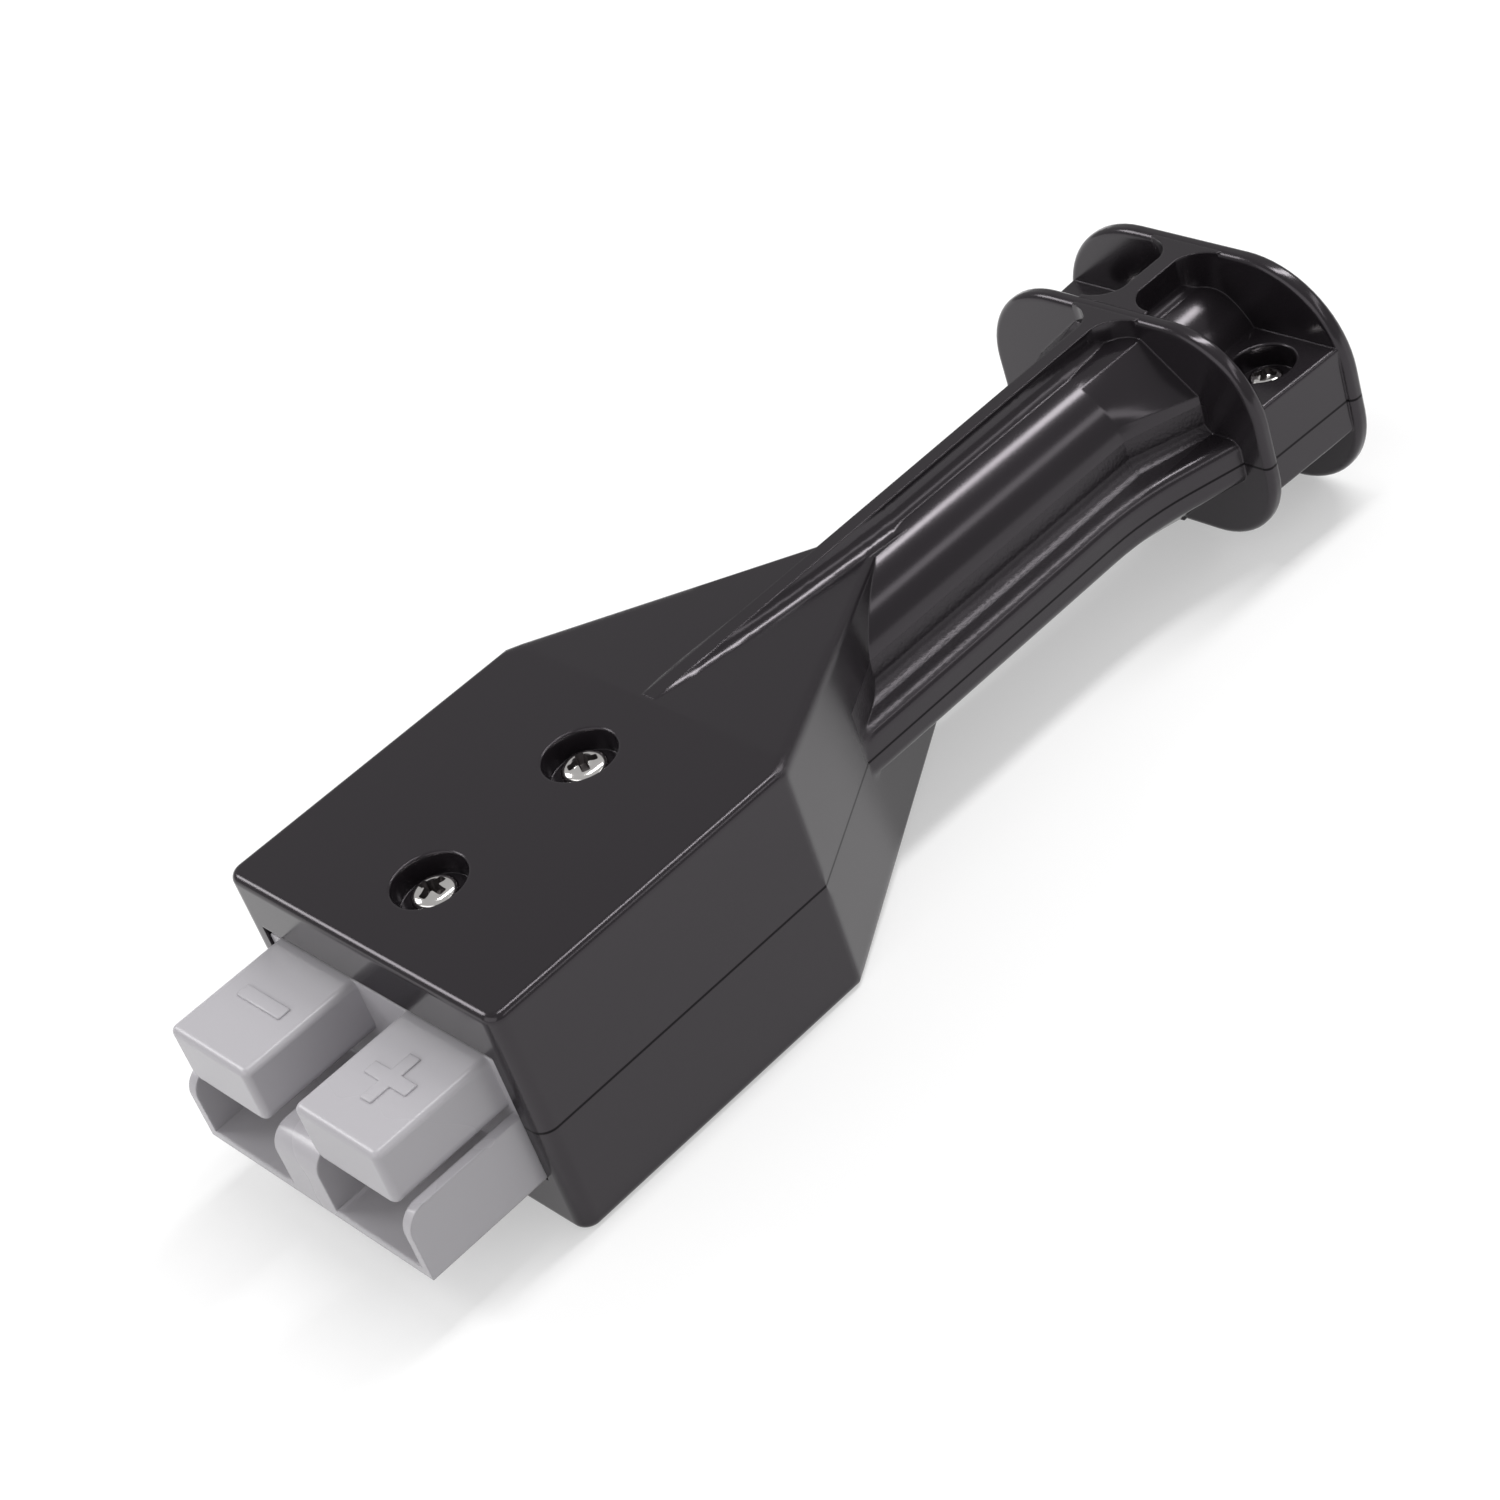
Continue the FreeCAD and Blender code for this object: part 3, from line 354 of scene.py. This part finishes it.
class Finish(ShaderTree):
    """A material under construction."""

    def __init__(self, name: str, colour: tuple[float, float, float], roughness: float,
                 metallic: float = 0.0) -> None:
        """Makes the material with its shader's constant values.

        Args:
            name: the material's name.
            colour: its base colour.
            roughness: its roughness.
            metallic: 1 for a metal.
        """
        self.material = bpy.data.materials.new(name)
        self.material.use_nodes = True
        super().__init__(self.material.node_tree)
        self.shader = self.tree.nodes["Principled BSDF"]
        self.set(Place.COLOUR.value, (*colour, 1.0))
        self.set(Place.ROUGHNESS.value, roughness)
        self.set("Metallic", metallic)

    def set(self, name: str, value: object) -> None:
        """Writes a constant value on the shader."""
        self.shader.inputs[name].default_value = value

    def group(self, tree: bpy.types.NodeTree, **values: float) -> bpy.types.bpy_prop_collection:
        """Places a node group and gives its outputs.

        Args:
            tree: the group's tree.
            values: its inputs by name, with underscores for spaces.

        Returns:
            The outputs by name.
        """
        made = self.node("Group", node_tree=tree)
        for key, value in values.items():
            made.inputs[key.replace("_", " ")].default_value = value
        return made.outputs

    def drive(self, source: bpy.types.NodeSocket, place: Place) -> None:
        """Drives one of the shader's values with a socket."""
        self.link(source, self.shader.inputs[place.value])

    def mix(self, mask: bpy.types.NodeSocket, first: Value, second: Value) -> bpy.types.NodeSocket:
        """Goes from a first value to a second one by a mask.

        Args:
            mask: the mask, from 0 to 1.
            first: the value where the mask is 0.
            second: the value where the mask is 1.

        Returns:
            The mixed value.
        """
        made = self.node("Mix", data_type="FLOAT")
        self.link(mask, made.inputs["Factor"])
        self.feed(first, made.inputs["A"])
        self.feed(second, made.inputs["B"])
        return made.outputs["Result"]

    def tint(self, mask: bpy.types.NodeSocket, first: tuple[float, float, float],
             second: tuple[float, float, float]) -> None:
        """Drives the base colour between two colours by a mask."""
        made = self.node("Mix", data_type="RGBA")
        made.inputs["A"].default_value = (*first, 1.0)
        made.inputs["B"].default_value = (*second, 1.0)
        self.link(mask, made.inputs["Factor"])
        self.drive(made.outputs["Result"], Place.COLOUR)

    def rounded(self, radius: Value) -> bpy.types.NodeSocket:
        """Rounds the sharp edges' shading by a radius in metres, and gives the normal."""
        made = self.node("Bevel", samples=BEVEL_SAMPLES)
        self.feed(radius, made.inputs["Radius"])
        return made.outputs["Normal"]

    def bump(self, height: bpy.types.NodeSocket, distance: float,
             under: bpy.types.NodeSocket | None = None) -> bpy.types.NodeSocket:
        """Adds a bump and feeds the shader's normal.

        Args:
            height: the height, from 0 to 1.
            distance: what a height of 1 measures, in metres.
            under: an earlier normal to lie over.

        Returns:
            The new normal.
        """
        made = self.node("Bump")
        made.inputs["Distance"].default_value = distance
        made.inputs["Strength"].default_value = 1.0
        self.link(height, made.inputs["Height"])
        if under is not None:
            self.link(under, made.inputs["Normal"])
        self.drive(made.outputs["Normal"], Place.NORMAL)
        return made.outputs["Normal"]


@dataclass(frozen=True)
class ShellPlastic:
    """Black moulded plastic with a gloss skin and a fine parting line."""

    colour: tuple[float, float, float] = (0.0125, 0.0105, 0.0125)
    sheen: tuple[float, float, float] = (1.0, 0.93, 1.0)
    seam: tuple[float, float, float] = (0.006, 0.005, 0.006)
    roughness: tuple[float, float] = (0.13, 0.22)
    ledge_roughness: float = 0.36
    gloss: float = 0.5
    seam_gloss: float = 0.10
    seam_half_width: float = 0.20 * MM
    grain_depth: float = 0.012 * MM
    speck_depth: float = 0.05 * MM

    def build(self, grain: bpy.types.NodeTree, seam: bpy.types.NodeTree,
              specks: bpy.types.NodeTree, edges: bpy.types.NodeTree) -> bpy.types.Material:
        """Builds the material.

        Args:
            grain: the moulded grain group.
            seam: the seam line group.
            specks: the group of fine specks along the grip's ledges.
            edges: the group that gives the edges' radius.

        Returns:
            The material.
        """
        finish = Finish("shell_plastic_gloss", self.colour, self.roughness[0])
        finish.set("Specular Tint", (*self.sheen, 1.0))
        skin = finish.group(grain, Grain_Scale=700.0, Wave_Scale=55.0, Wave_Share=0.85)
        line = finish.group(seam, Half_Width=self.seam_half_width)
        ledge = finish.group(specks)
        rough = finish.span(skin["Mottle"], *self.roughness)
        finish.drive(finish.mix(ledge["Mask"], rough, self.ledge_roughness), Place.ROUGHNESS)
        finish.tint(line["Mask"], self.colour, self.seam)
        finish.drive(finish.span(line["Mask"], self.gloss, self.seam_gloss), Place.SPECULAR)
        soft = finish.rounded(finish.group(edges)["Radius"])
        fine = finish.bump(skin["Height"], self.grain_depth, soft)
        finish.bump(ledge["Height"], self.speck_depth, fine)
        return finish.material


@dataclass(frozen=True)
class HousingPlastic:
    """Grey moulded plastic of the genderless housing."""

    light: tuple[float, float, float] = (0.455, 0.442, 0.466)
    dark: tuple[float, float, float] = (0.445, 0.432, 0.456)
    roughness: tuple[float, float] = (0.25, 0.29)
    depth_weight: float = 0.12
    depth_colour: tuple[float, float, float] = (0.9, 0.85, 0.9)
    depth: float = 0.8 * MM
    edge_round: float = 0.30 * MM
    grain_depth: float = 0.010 * MM

    def build(self, grain: bpy.types.NodeTree) -> bpy.types.Material:
        """Builds the material.

        Args:
            grain: the moulded grain group.

        Returns:
            The material.
        """
        finish = Finish("housing_plastic_grey", self.light, self.roughness[0])
        finish.set("Subsurface Weight", self.depth_weight)
        finish.set("Subsurface Radius", self.depth_colour)
        finish.set("Subsurface Scale", self.depth)
        skin = finish.group(grain, Grain_Scale=1400.0, Wave_Scale=40.0, Wave_Share=0.2)
        finish.drive(finish.span(skin["Mottle"], *self.roughness), Place.ROUGHNESS)
        finish.tint(skin["Mottle"], self.dark, self.light)
        finish.bump(skin["Height"], self.grain_depth, finish.rounded(self.edge_round))
        return finish.material


@dataclass(frozen=True)
class PlatedMetal:
    """A plated metal with fine marks from tumbling."""

    name: str
    light: tuple[float, float, float]
    dark: tuple[float, float, float]
    roughness: tuple[float, float]
    mark_scale: float = 1500.0
    mark_depth: float = 0.006 * MM

    def build(self, grain: bpy.types.NodeTree) -> bpy.types.Material:
        """Builds the material.

        Args:
            grain: the moulded grain group, used at a metal's scale.

        Returns:
            The material.
        """
        finish = Finish(self.name, self.light, self.roughness[0], metallic=1.0)
        skin = finish.group(grain, Grain_Scale=self.mark_scale, Wave_Scale=self.mark_scale / 5,
                            Wave_Share=0.4)
        finish.drive(finish.span(skin["Mottle"], *self.roughness), Place.ROUGHNESS)
        finish.tint(skin["Mottle"], self.dark, self.light)
        finish.bump(skin["Height"], self.mark_depth)
        return finish.material


NICKEL = PlatedMetal("screw_nickel_bright", (0.95, 0.93, 0.91), (0.80, 0.78, 0.76), (0.06, 0.18))
# Painted shade: the screws' cross recesses get a much darker colour than the heads. Their higher
# roughness is real.
RECESS_PAINTED_SHADE = PlatedMetal("screw_recess_painted_shade", (0.30, 0.28, 0.28), (0.10, 0.09, 0.09), (0.30, 0.45))
ZINC = PlatedMetal("nut_zinc", (0.72, 0.72, 0.73), (0.55, 0.55, 0.57), (0.28, 0.42))
SILVER = PlatedMetal("contact_silver_plate", (0.93, 0.91, 0.87), (0.82, 0.80, 0.74), (0.16, 0.32))
SPRING = PlatedMetal("spring_stainless", (0.66, 0.67, 0.70), (0.52, 0.53, 0.56), (0.20, 0.34))


class Dresser:
    """Holds the materials and puts them on nodes and pieces."""

    def __init__(self) -> None:
        """Builds the shared groups and every material."""
        grain = moulded_grain_group()
        seam = seam_group()
        specks = ledge_specks_group()
        edges = edge_radius_group()
        self.by_slot = {
            "shell_plastic": ShellPlastic().build(grain, seam, specks, edges),
            "housing_plastic": HousingPlastic().build(grain),
            "screw_nickel": NICKEL.build(grain),
            "nut_steel": ZINC.build(grain),
            "contact_silver": SILVER.build(grain),
            "spring_steel": SPRING.build(grain),
        }
        # Painted shade for the screws' cross recesses.
        self.recess = RECESS_PAINTED_SHADE.build(grain)

    def dress(self, piece: bpy.types.Object, slot: str) -> None:
        """Gives an object the material of a slot."""
        piece.data.materials.clear()
        piece.data.materials.append(self.by_slot[slot])

    def dress_nodes(self) -> None:
        """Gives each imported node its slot's material."""
        for entry in frame["record"]["subparts"]:
            node = frame["nodes"][entry["node"]]
            for slot in node.material_slots:
                slot.material = self.by_slot[entry["material_slot"]]
            LOG.info("dressed %s", entry["node"])

    def tie(self, piece: bpy.types.Object) -> None:
        """Ties a dressed piece to the body."""
        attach(piece, BODY)
        LOG.info("built %s", piece.name)

    def finish_piece(self, piece: bpy.types.Object, slot: str) -> None:
        """Dresses a new piece in one finish and ties it to the body."""
        self.dress(piece, slot)
        self.tie(piece)


# Marks on the hoods

@dataclass
class PoleMarks:
    """Raised minus and plus marks on the tops of the hoods."""

    centre_x: float = 10.3 * MM
    centre_y: float = -6.5 * MM
    bar_length: float = 7.1 * MM
    bar_width: float = 1.6 * MM
    plus_length: float = 6.4 * MM
    height: float = 0.22 * MM
    round_width: float = 0.10 * MM

    def bar(self, shape: bmesh.types.BMesh, x: float, length: float, turned: bool,
            top: float) -> None:
        """Adds one bar to a bmesh.

        Args:
            shape: the bmesh to add to.
            x: the bar's centre across the connector.
            length: the bar's length.
            turned: whether the bar runs along the connector instead of across it.
            top: the height of the hood's top.
        """
        along, across = (self.bar_width, length) if turned else (length, self.bar_width)
        made = bmesh.ops.create_cube(shape, size=1.0)
        centre = Vector((x, self.centre_y, top))
        for vertex in made["verts"]:
            vertex.co = centre + Vector((vertex.co.x * along, vertex.co.y * across,
                                         vertex.co.z * 2 * self.height))

    def build(self, dresser: Dresser) -> None:
        """Builds both marks and dresses them.

        Args:
            dresser: the materials.
        """
        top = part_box("connector_housing")[1].z
        for name, side in (("minus_mark", -1), ("plus_mark", 1)):
            shape = bmesh.new()
            length = self.bar_length if side < 0 else self.plus_length
            self.bar(shape, side * self.centre_x, length, False, top)
            piece = add_mesh(name, mesh_from(name, shape))
            if side > 0:
                other = bmesh.new()
                self.bar(other, side * self.centre_x, length, True, top)
                fuse(piece, mesh_from("plus_arm", other), "UNION")
            bevel = piece.modifiers.new("round", "BEVEL")
            bevel.width = self.round_width
            bevel.segments = 3
            apply_modifiers(piece)
            mark_sharp(piece.data)
            dresser.finish_piece(piece, "housing_plastic")


# Screws and nuts

def ring_rows(shape: bmesh.types.BMesh, rows: list[list[Vector]], closed: bool) -> None:
    """Skins rows of points that go round an axis.

    Args:
        shape: the bmesh to add to.
        rows: the rows, each with as many points as the others.
        closed: whether the last row joins the first, as in a ring. Else both ends are capped.
    """
    made = [[shape.verts.new(point) for point in row] for row in rows]
    pairs = list(zip(made, made[1:]))
    if closed:
        pairs.append((made[-1], made[0]))
    else:
        shape.faces.new(reversed(made[0]))
        shape.faces.new(made[-1])
    for low, high in pairs:
        for index in range(len(low)):
            after = (index + 1) % len(low)
            shape.faces.new((low[index], low[after], high[after], high[index]))


@dataclass(frozen=True)
class PanScrew:
    """Pan-head cross-recess screw that stands in for a plain CAD screw."""

    node: str
    radius: float
    head_height: float
    pitch: float
    turn: float
    columns: int = 48
    head_rows: int = 12
    thread_rows: int = 6
    side_share: float = 0.45
    flat_share: float = 0.50
    crown_share: float = 0.13
    edge_share: float = 0.04
    root_share: float = 0.1
    groove_share: float = 0.42
    thread_depth_share: float = 0.55
    recess_reach_share: float = 0.70
    recess_width_share: float = 0.42
    recess_depth_share: float = 0.66
    recess_taper: float = 0.72
    recess_levels: tuple[tuple[float, float, float], ...] = ((1.0, 0.0, 0.55), (0.5, 0.5, 0.78),
                                                             (0.0, 1.0, 1.05))
    recess_hub: float = 1.25
    recess_nose: tuple[float, float] = (0.93, 0.6)
    recess_above: float = 0.2

    def circle(self, radius: float, z: float) -> list[Vector]:
        """Gives one row of points round the axis."""
        steps = (math.tau * index / self.columns for index in range(self.columns))
        return [Vector((radius * math.cos(step), radius * math.sin(step), z)) for step in steps]

    def head(self, head_radius: float) -> bpy.types.Mesh:
        """Turns the head on a lathe, from its seat at z = 0 to its crown.

        Args:
            head_radius: the head's outer radius.

        Returns:
            The head's mesh, without the recess.
        """
        side = self.side_share * self.head_height
        edge = self.edge_share * self.head_height
        shoulder = self.head_height * (1 - self.crown_share)
        rows = [self.circle(head_radius - edge, 0.0), self.circle(head_radius, edge)]
        for index in range(self.head_rows + 1):
            lean = 0.5 * math.pi * index / self.head_rows
            share = self.flat_share + (1 - self.flat_share) * math.cos(lean)
            height = side + (shoulder - side) * math.sin(lean)
            rows.append(self.circle(head_radius * share, height))
        rows.append(self.circle(0.5 * self.flat_share * head_radius, self.head_height))
        shape = bmesh.new()
        ring_rows(shape, rows, False)
        return mesh_from("head", shape)

    def recess(self, head_radius: float) -> bpy.types.Mesh:
        """Makes the tapered cross that is cut from the crown.

        Args:
            head_radius: the head's outer radius.

        Returns:
            The cutting mesh.
        """
        reach = self.recess_reach_share * head_radius
        half = 0.5 * self.recess_width_share * head_radius
        depth = self.recess_depth_share * self.head_height
        nose, narrow = self.recess_nose
        above = self.head_height * (1 + self.recess_above)
        rows = []
        for sink, open_share, width in self.recess_levels:
            z = self.head_height - sink * depth if sink else above
            share = self.recess_taper + (1 - self.recess_taper) * open_share
            row = []
            for arm in range(4):
                turn = self.turn + 0.5 * math.pi * arm
                out = Vector((math.cos(turn), math.sin(turn), 0.0))
                aside = Vector((-out.y, out.x, 0.0))
                far, wide = reach * share, half * width
                near = wide * self.recess_hub
                for along, across in ((near, -wide), (far * nose, -wide), (far, -narrow * wide),
                                      (far, narrow * wide), (far * nose, wide), (near, wide)):
                    row.append(out * along + aside * across + Vector((0, 0, z)))
            rows.append(row)
        shape = bmesh.new()
        ring_rows(shape, rows, False)
        return mesh_from("recess", shape)

    def shank(self, length: float) -> bpy.types.Mesh:
        """Rolls the thread, from just inside the head down to the chamfered tip.

        Args:
            length: the shank's length.

        Returns:
            The shank's mesh.
        """
        depth = self.thread_depth_share * self.pitch
        step = self.pitch / self.thread_rows
        rows = []
        for index in range(int(length / step) + 1):
            z = -length + index * step
            from_tip = min(1.0, (z + length) / self.pitch)
            row = []
            for column in range(self.columns):
                turn = math.tau * column / self.columns
                phase = (z / self.pitch - column / self.columns) % 1.0
                groove = max(0.0, 1.0 - abs(phase - 0.5) / self.groove_share)
                radius = self.radius - depth * max(groove, 1.0 - from_tip)
                row.append(Vector((radius * math.cos(turn), radius * math.sin(turn), z)))
            rows.append(row)
        rows.append(self.circle(self.radius - depth, self.root_share * self.head_height))
        shape = bmesh.new()
        ring_rows(shape, rows, False)
        return mesh_from("shank", shape)

    def build(self, dresser: Dresser) -> None:
        """Builds the screw where its node is and dresses it.

        Args:
            dresser: the materials.
        """
        low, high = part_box(self.node)
        head_radius = 0.5 * (high.x - low.x)
        seat = high.z - self.head_height
        piece = add_mesh(self.node + "_pan", self.head(head_radius))
        dresser.dress(piece, "screw_nickel")
        cutter = self.recess(head_radius)
        # The recess faces take the darker finish, which is painted shade in the cross.
        cutter.materials.append(dresser.recess)
        fuse(piece, cutter, "DIFFERENCE")
        fuse(piece, self.shank(seat - low.z), "UNION")
        centre = (0.5 * (low.x + high.x), 0.5 * (low.y + high.y), seat)
        piece.data.transform(Matrix.Translation(centre))
        mark_sharp(piece.data)
        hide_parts(self.node)
        dresser.tie(piece)


@dataclass(frozen=True)
class HexNut:
    """Hex nut with chamfered corners and a countersunk bore."""

    node: str
    radius: float
    columns: int = 96
    chamfer_slope: float = math.tan(math.radians(30))
    countersink: float = 0.18 * MM
    face_share: float = 0.97

    def build(self, dresser: Dresser) -> None:
        """Builds the nut where its node is and dresses it.

        Args:
            dresser: the materials.
        """
        low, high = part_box(self.node)
        flats = 0.5 * min(high.x - low.x, high.y - low.y)
        first = 0.0 if high.x - low.x > high.y - low.y else math.pi / 6
        face = self.face_share * flats
        columns = []
        for index in range(self.columns):
            turn = math.tau * index / self.columns
            off = (turn - first) % (math.pi / 3) - math.pi / 6
            outer = flats / math.cos(off)
            drop = (outer - face) * self.chamfer_slope
            profile = (
                (self.radius, low.z + self.countersink), (self.radius + self.countersink, low.z),
                (face, low.z), (outer, low.z + drop), (outer, high.z - drop), (face, high.z),
                (self.radius + self.countersink, high.z), (self.radius, high.z - self.countersink))
            columns.append([(radius * math.cos(turn), radius * math.sin(turn), z)
                            for radius, z in profile])
        shape = bmesh.new()
        middle = Vector((0.5 * (low.x + high.x), 0.5 * (low.y + high.y), 0.0))
        rows = [[Vector(column[place]) + middle for column in columns] for place in range(8)]
        ring_rows(shape, rows, True)
        piece = add_mesh(self.node + "_hex", mesh_from(self.node + "_hex", shape))
        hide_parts(self.node)
        dresser.finish_piece(piece, "nut_steel")


@dataclass(frozen=True)
class Fasteners:
    """The four screws and their nuts."""

    body_radius: float = 1.25 * MM
    body_head: float = 2.07 * MM
    body_pitch: float = 0.45 * MM
    clamp_radius: float = 1.0 * MM
    clamp_head: float = 1.58 * MM
    clamp_pitch: float = 0.40 * MM

    def build(self, dresser: Dresser) -> None:
        """Builds every screw and nut.

        Args:
            dresser: the materials.
        """
        for name, turn in (("front", 0.10), ("rear", 1.10)):
            PanScrew("body_screw_" + name, self.body_radius, self.body_head, self.body_pitch,
                     turn).build(dresser)
            HexNut("body_nut_" + name, self.body_radius).build(dresser)
        for name, turn in (("left", 1.20), ("right", 0.45)):
            PanScrew("flange_screw_" + name, self.clamp_radius, self.clamp_head, self.clamp_pitch,
                     turn).build(dresser)
            HexNut("flange_nut_" + name, self.clamp_radius).build(dresser)


# Floor, light and camera

@dataclass(frozen=True)
class Lamp:
    """A soft lamp that points at the part."""

    name: str
    direction: tuple[float, float, float]
    distance: float
    size: tuple[float, float]
    power: float

    def build(self, target: Vector) -> None:
        """Sets the lamp up.

        Args:
            target: the point that it shines at.
        """
        light = bpy.data.lights.new(self.name, "AREA")
        light.shape = "RECTANGLE"
        light.size, light.size_y = self.size
        light.energy = self.power
        lamp = bpy.data.objects.new(self.name, light)
        bpy.context.scene.collection.objects.link(lamp)
        towards = Vector(self.direction).normalized()
        lamp.location = target + towards * self.distance
        lamp.rotation_mode = "QUATERNION"
        lamp.rotation_quaternion = towards.to_track_quat("Z", "Y")


@dataclass(frozen=True)
class Studio:
    """Pale floor, soft lamps and the photograph's camera."""

    image_width: float = 1500.0
    sensor_width: float = 36.0
    focal_pixels: float = 3283.2
    position: tuple[float, float, float] = (0.2306, -0.0949, 0.2033)
    azimuth: float = 58.01
    elevation: float = 36.64
    roll: float = -20.23
    clip: tuple[float, float] = (0.01, 20.0)
    floor_size: float = 30.0
    floor_colour: tuple[float, float, float] = (0.58, 0.58, 0.58)
    floor_roughness: float = 0.9
    floor_lift: tuple[float, float] = (0.42, 0.84)
    lift_reach: tuple[float, float] = (0.25, 1.4)
    sky_strength: float = 0.42
    target: tuple[float, float, float] = (0.0, 0.055, 0.0)
    lamps: tuple[Lamp, ...] = (
        Lamp("overhead_strip", (0.03, 0.42, 0.90), 0.9, (0.13, 0.9), 5.2),
        Lamp("side_strip", (0.71, 0.42, 0.57), 0.9, (0.9, 0.12), 0.85),
        Lamp("left_box", (-0.68, -0.31, 0.62), 1.1, (0.35, 0.35), 3.0),
        Lamp("front_box", (0.15, -0.9, 0.45), 1.2, (1.6, 0.9), 5.0),
    )

    def camera(self) -> None:
        """Makes the camera at the fitted place and angle."""
        lens = bpy.data.cameras.new("camera")
        lens.sensor_width = self.sensor_width
        lens.lens = self.focal_pixels / self.image_width * self.sensor_width
        lens.clip_start, lens.clip_end = self.clip
        eye = bpy.data.objects.new("camera", lens)
        bpy.context.scene.collection.objects.link(eye)
        turn, tilt, roll = map(math.radians, (self.azimuth, self.elevation, self.roll))
        back = Vector((math.sin(turn) * math.cos(tilt), -math.cos(turn) * math.cos(tilt),
                       math.sin(tilt)))
        right = (-back).cross(Vector((0, 0, 1))).normalized()
        up = right.cross(-back)
        rolled_right = right * math.cos(roll) + up * math.sin(roll)
        rolled_up = up * math.cos(roll) - right * math.sin(roll)
        eye.matrix_world = Matrix((
            (rolled_right.x, rolled_up.x, back.x, self.position[0]),
            (rolled_right.y, rolled_up.y, back.y, self.position[1]),
            (rolled_right.z, rolled_up.z, back.z, self.position[2]),
            (0, 0, 0, 1)))
        bpy.context.scene.camera = eye

    def floor(self) -> None:
        """Makes the pale floor at the level that the part stands on."""
        shape = bmesh.new()
        bmesh.ops.create_grid(shape, x_segments=1, y_segments=1, size=self.floor_size)
        ground = add_mesh("floor", mesh_from("floor", shape))
        ground.location.z = CAD_BOX[0][2]
        finish = Finish("floor_pale", self.floor_colour, self.floor_roughness)
        finish.set(Place.SPECULAR.value, 0.0)
        finish.set("Emission Color", (1, 1, 1, 1))
        path = finish.node("LightPath").outputs
        seen = finish.math("MAXIMUM", path["Is Camera Ray"], path["Is Glossy Ray"])
        seen = finish.math("MAXIMUM", seen, path["Is Transmission Ray"])
        reach = finish.node("VectorMath", operation="LENGTH")
        finish.link(finish.place(), reach.inputs[0])
        lift = finish.span(reach.outputs["Value"], *self.floor_lift, *self.lift_reach)
        finish.link(finish.math("MULTIPLY", seen, lift), finish.shader.inputs["Emission Strength"])
        self.open_from_below(finish)
        ground.data.materials.append(finish.material)

    def open_from_below(self, finish: Finish) -> None:
        """Lets the floor be looked through from below, so that the part's underside shows."""
        mix = finish.node("MixShader")
        finish.link(finish.node("NewGeometry").outputs["Backfacing"], mix.inputs["Fac"])
        finish.link(finish.shader.outputs["BSDF"], mix.inputs[1])
        finish.link(finish.node("BsdfTransparent").outputs["BSDF"], mix.inputs[2])
        finish.link(mix.outputs["Shader"], finish.tree.nodes["Material Output"].inputs["Surface"])

    def build(self) -> None:
        """Sets the world, the lamps, the floor and the camera."""
        scene = bpy.context.scene
        scene.view_settings.view_transform = "Standard"
        scene.world = bpy.data.worlds.new("studio")
        scene.world.use_nodes = True
        sky = scene.world.node_tree.nodes["Background"]
        sky.inputs["Color"].default_value = (1, 1, 1, 1)
        sky.inputs["Strength"].default_value = self.sky_strength
        for lamp in self.lamps:
            lamp.build(Vector(self.target))
        self.floor()
        self.camera()


def main() -> None:
    """Builds and dresses everything in order."""
    logging.basicConfig(level=logging.INFO)
    dresser = Dresser()
    dresser.dress_nodes()
    PoleMarks().build(dresser)
    Fasteners().build(dresser)
    Studio().build()


if __name__ == "__main__":
    main()
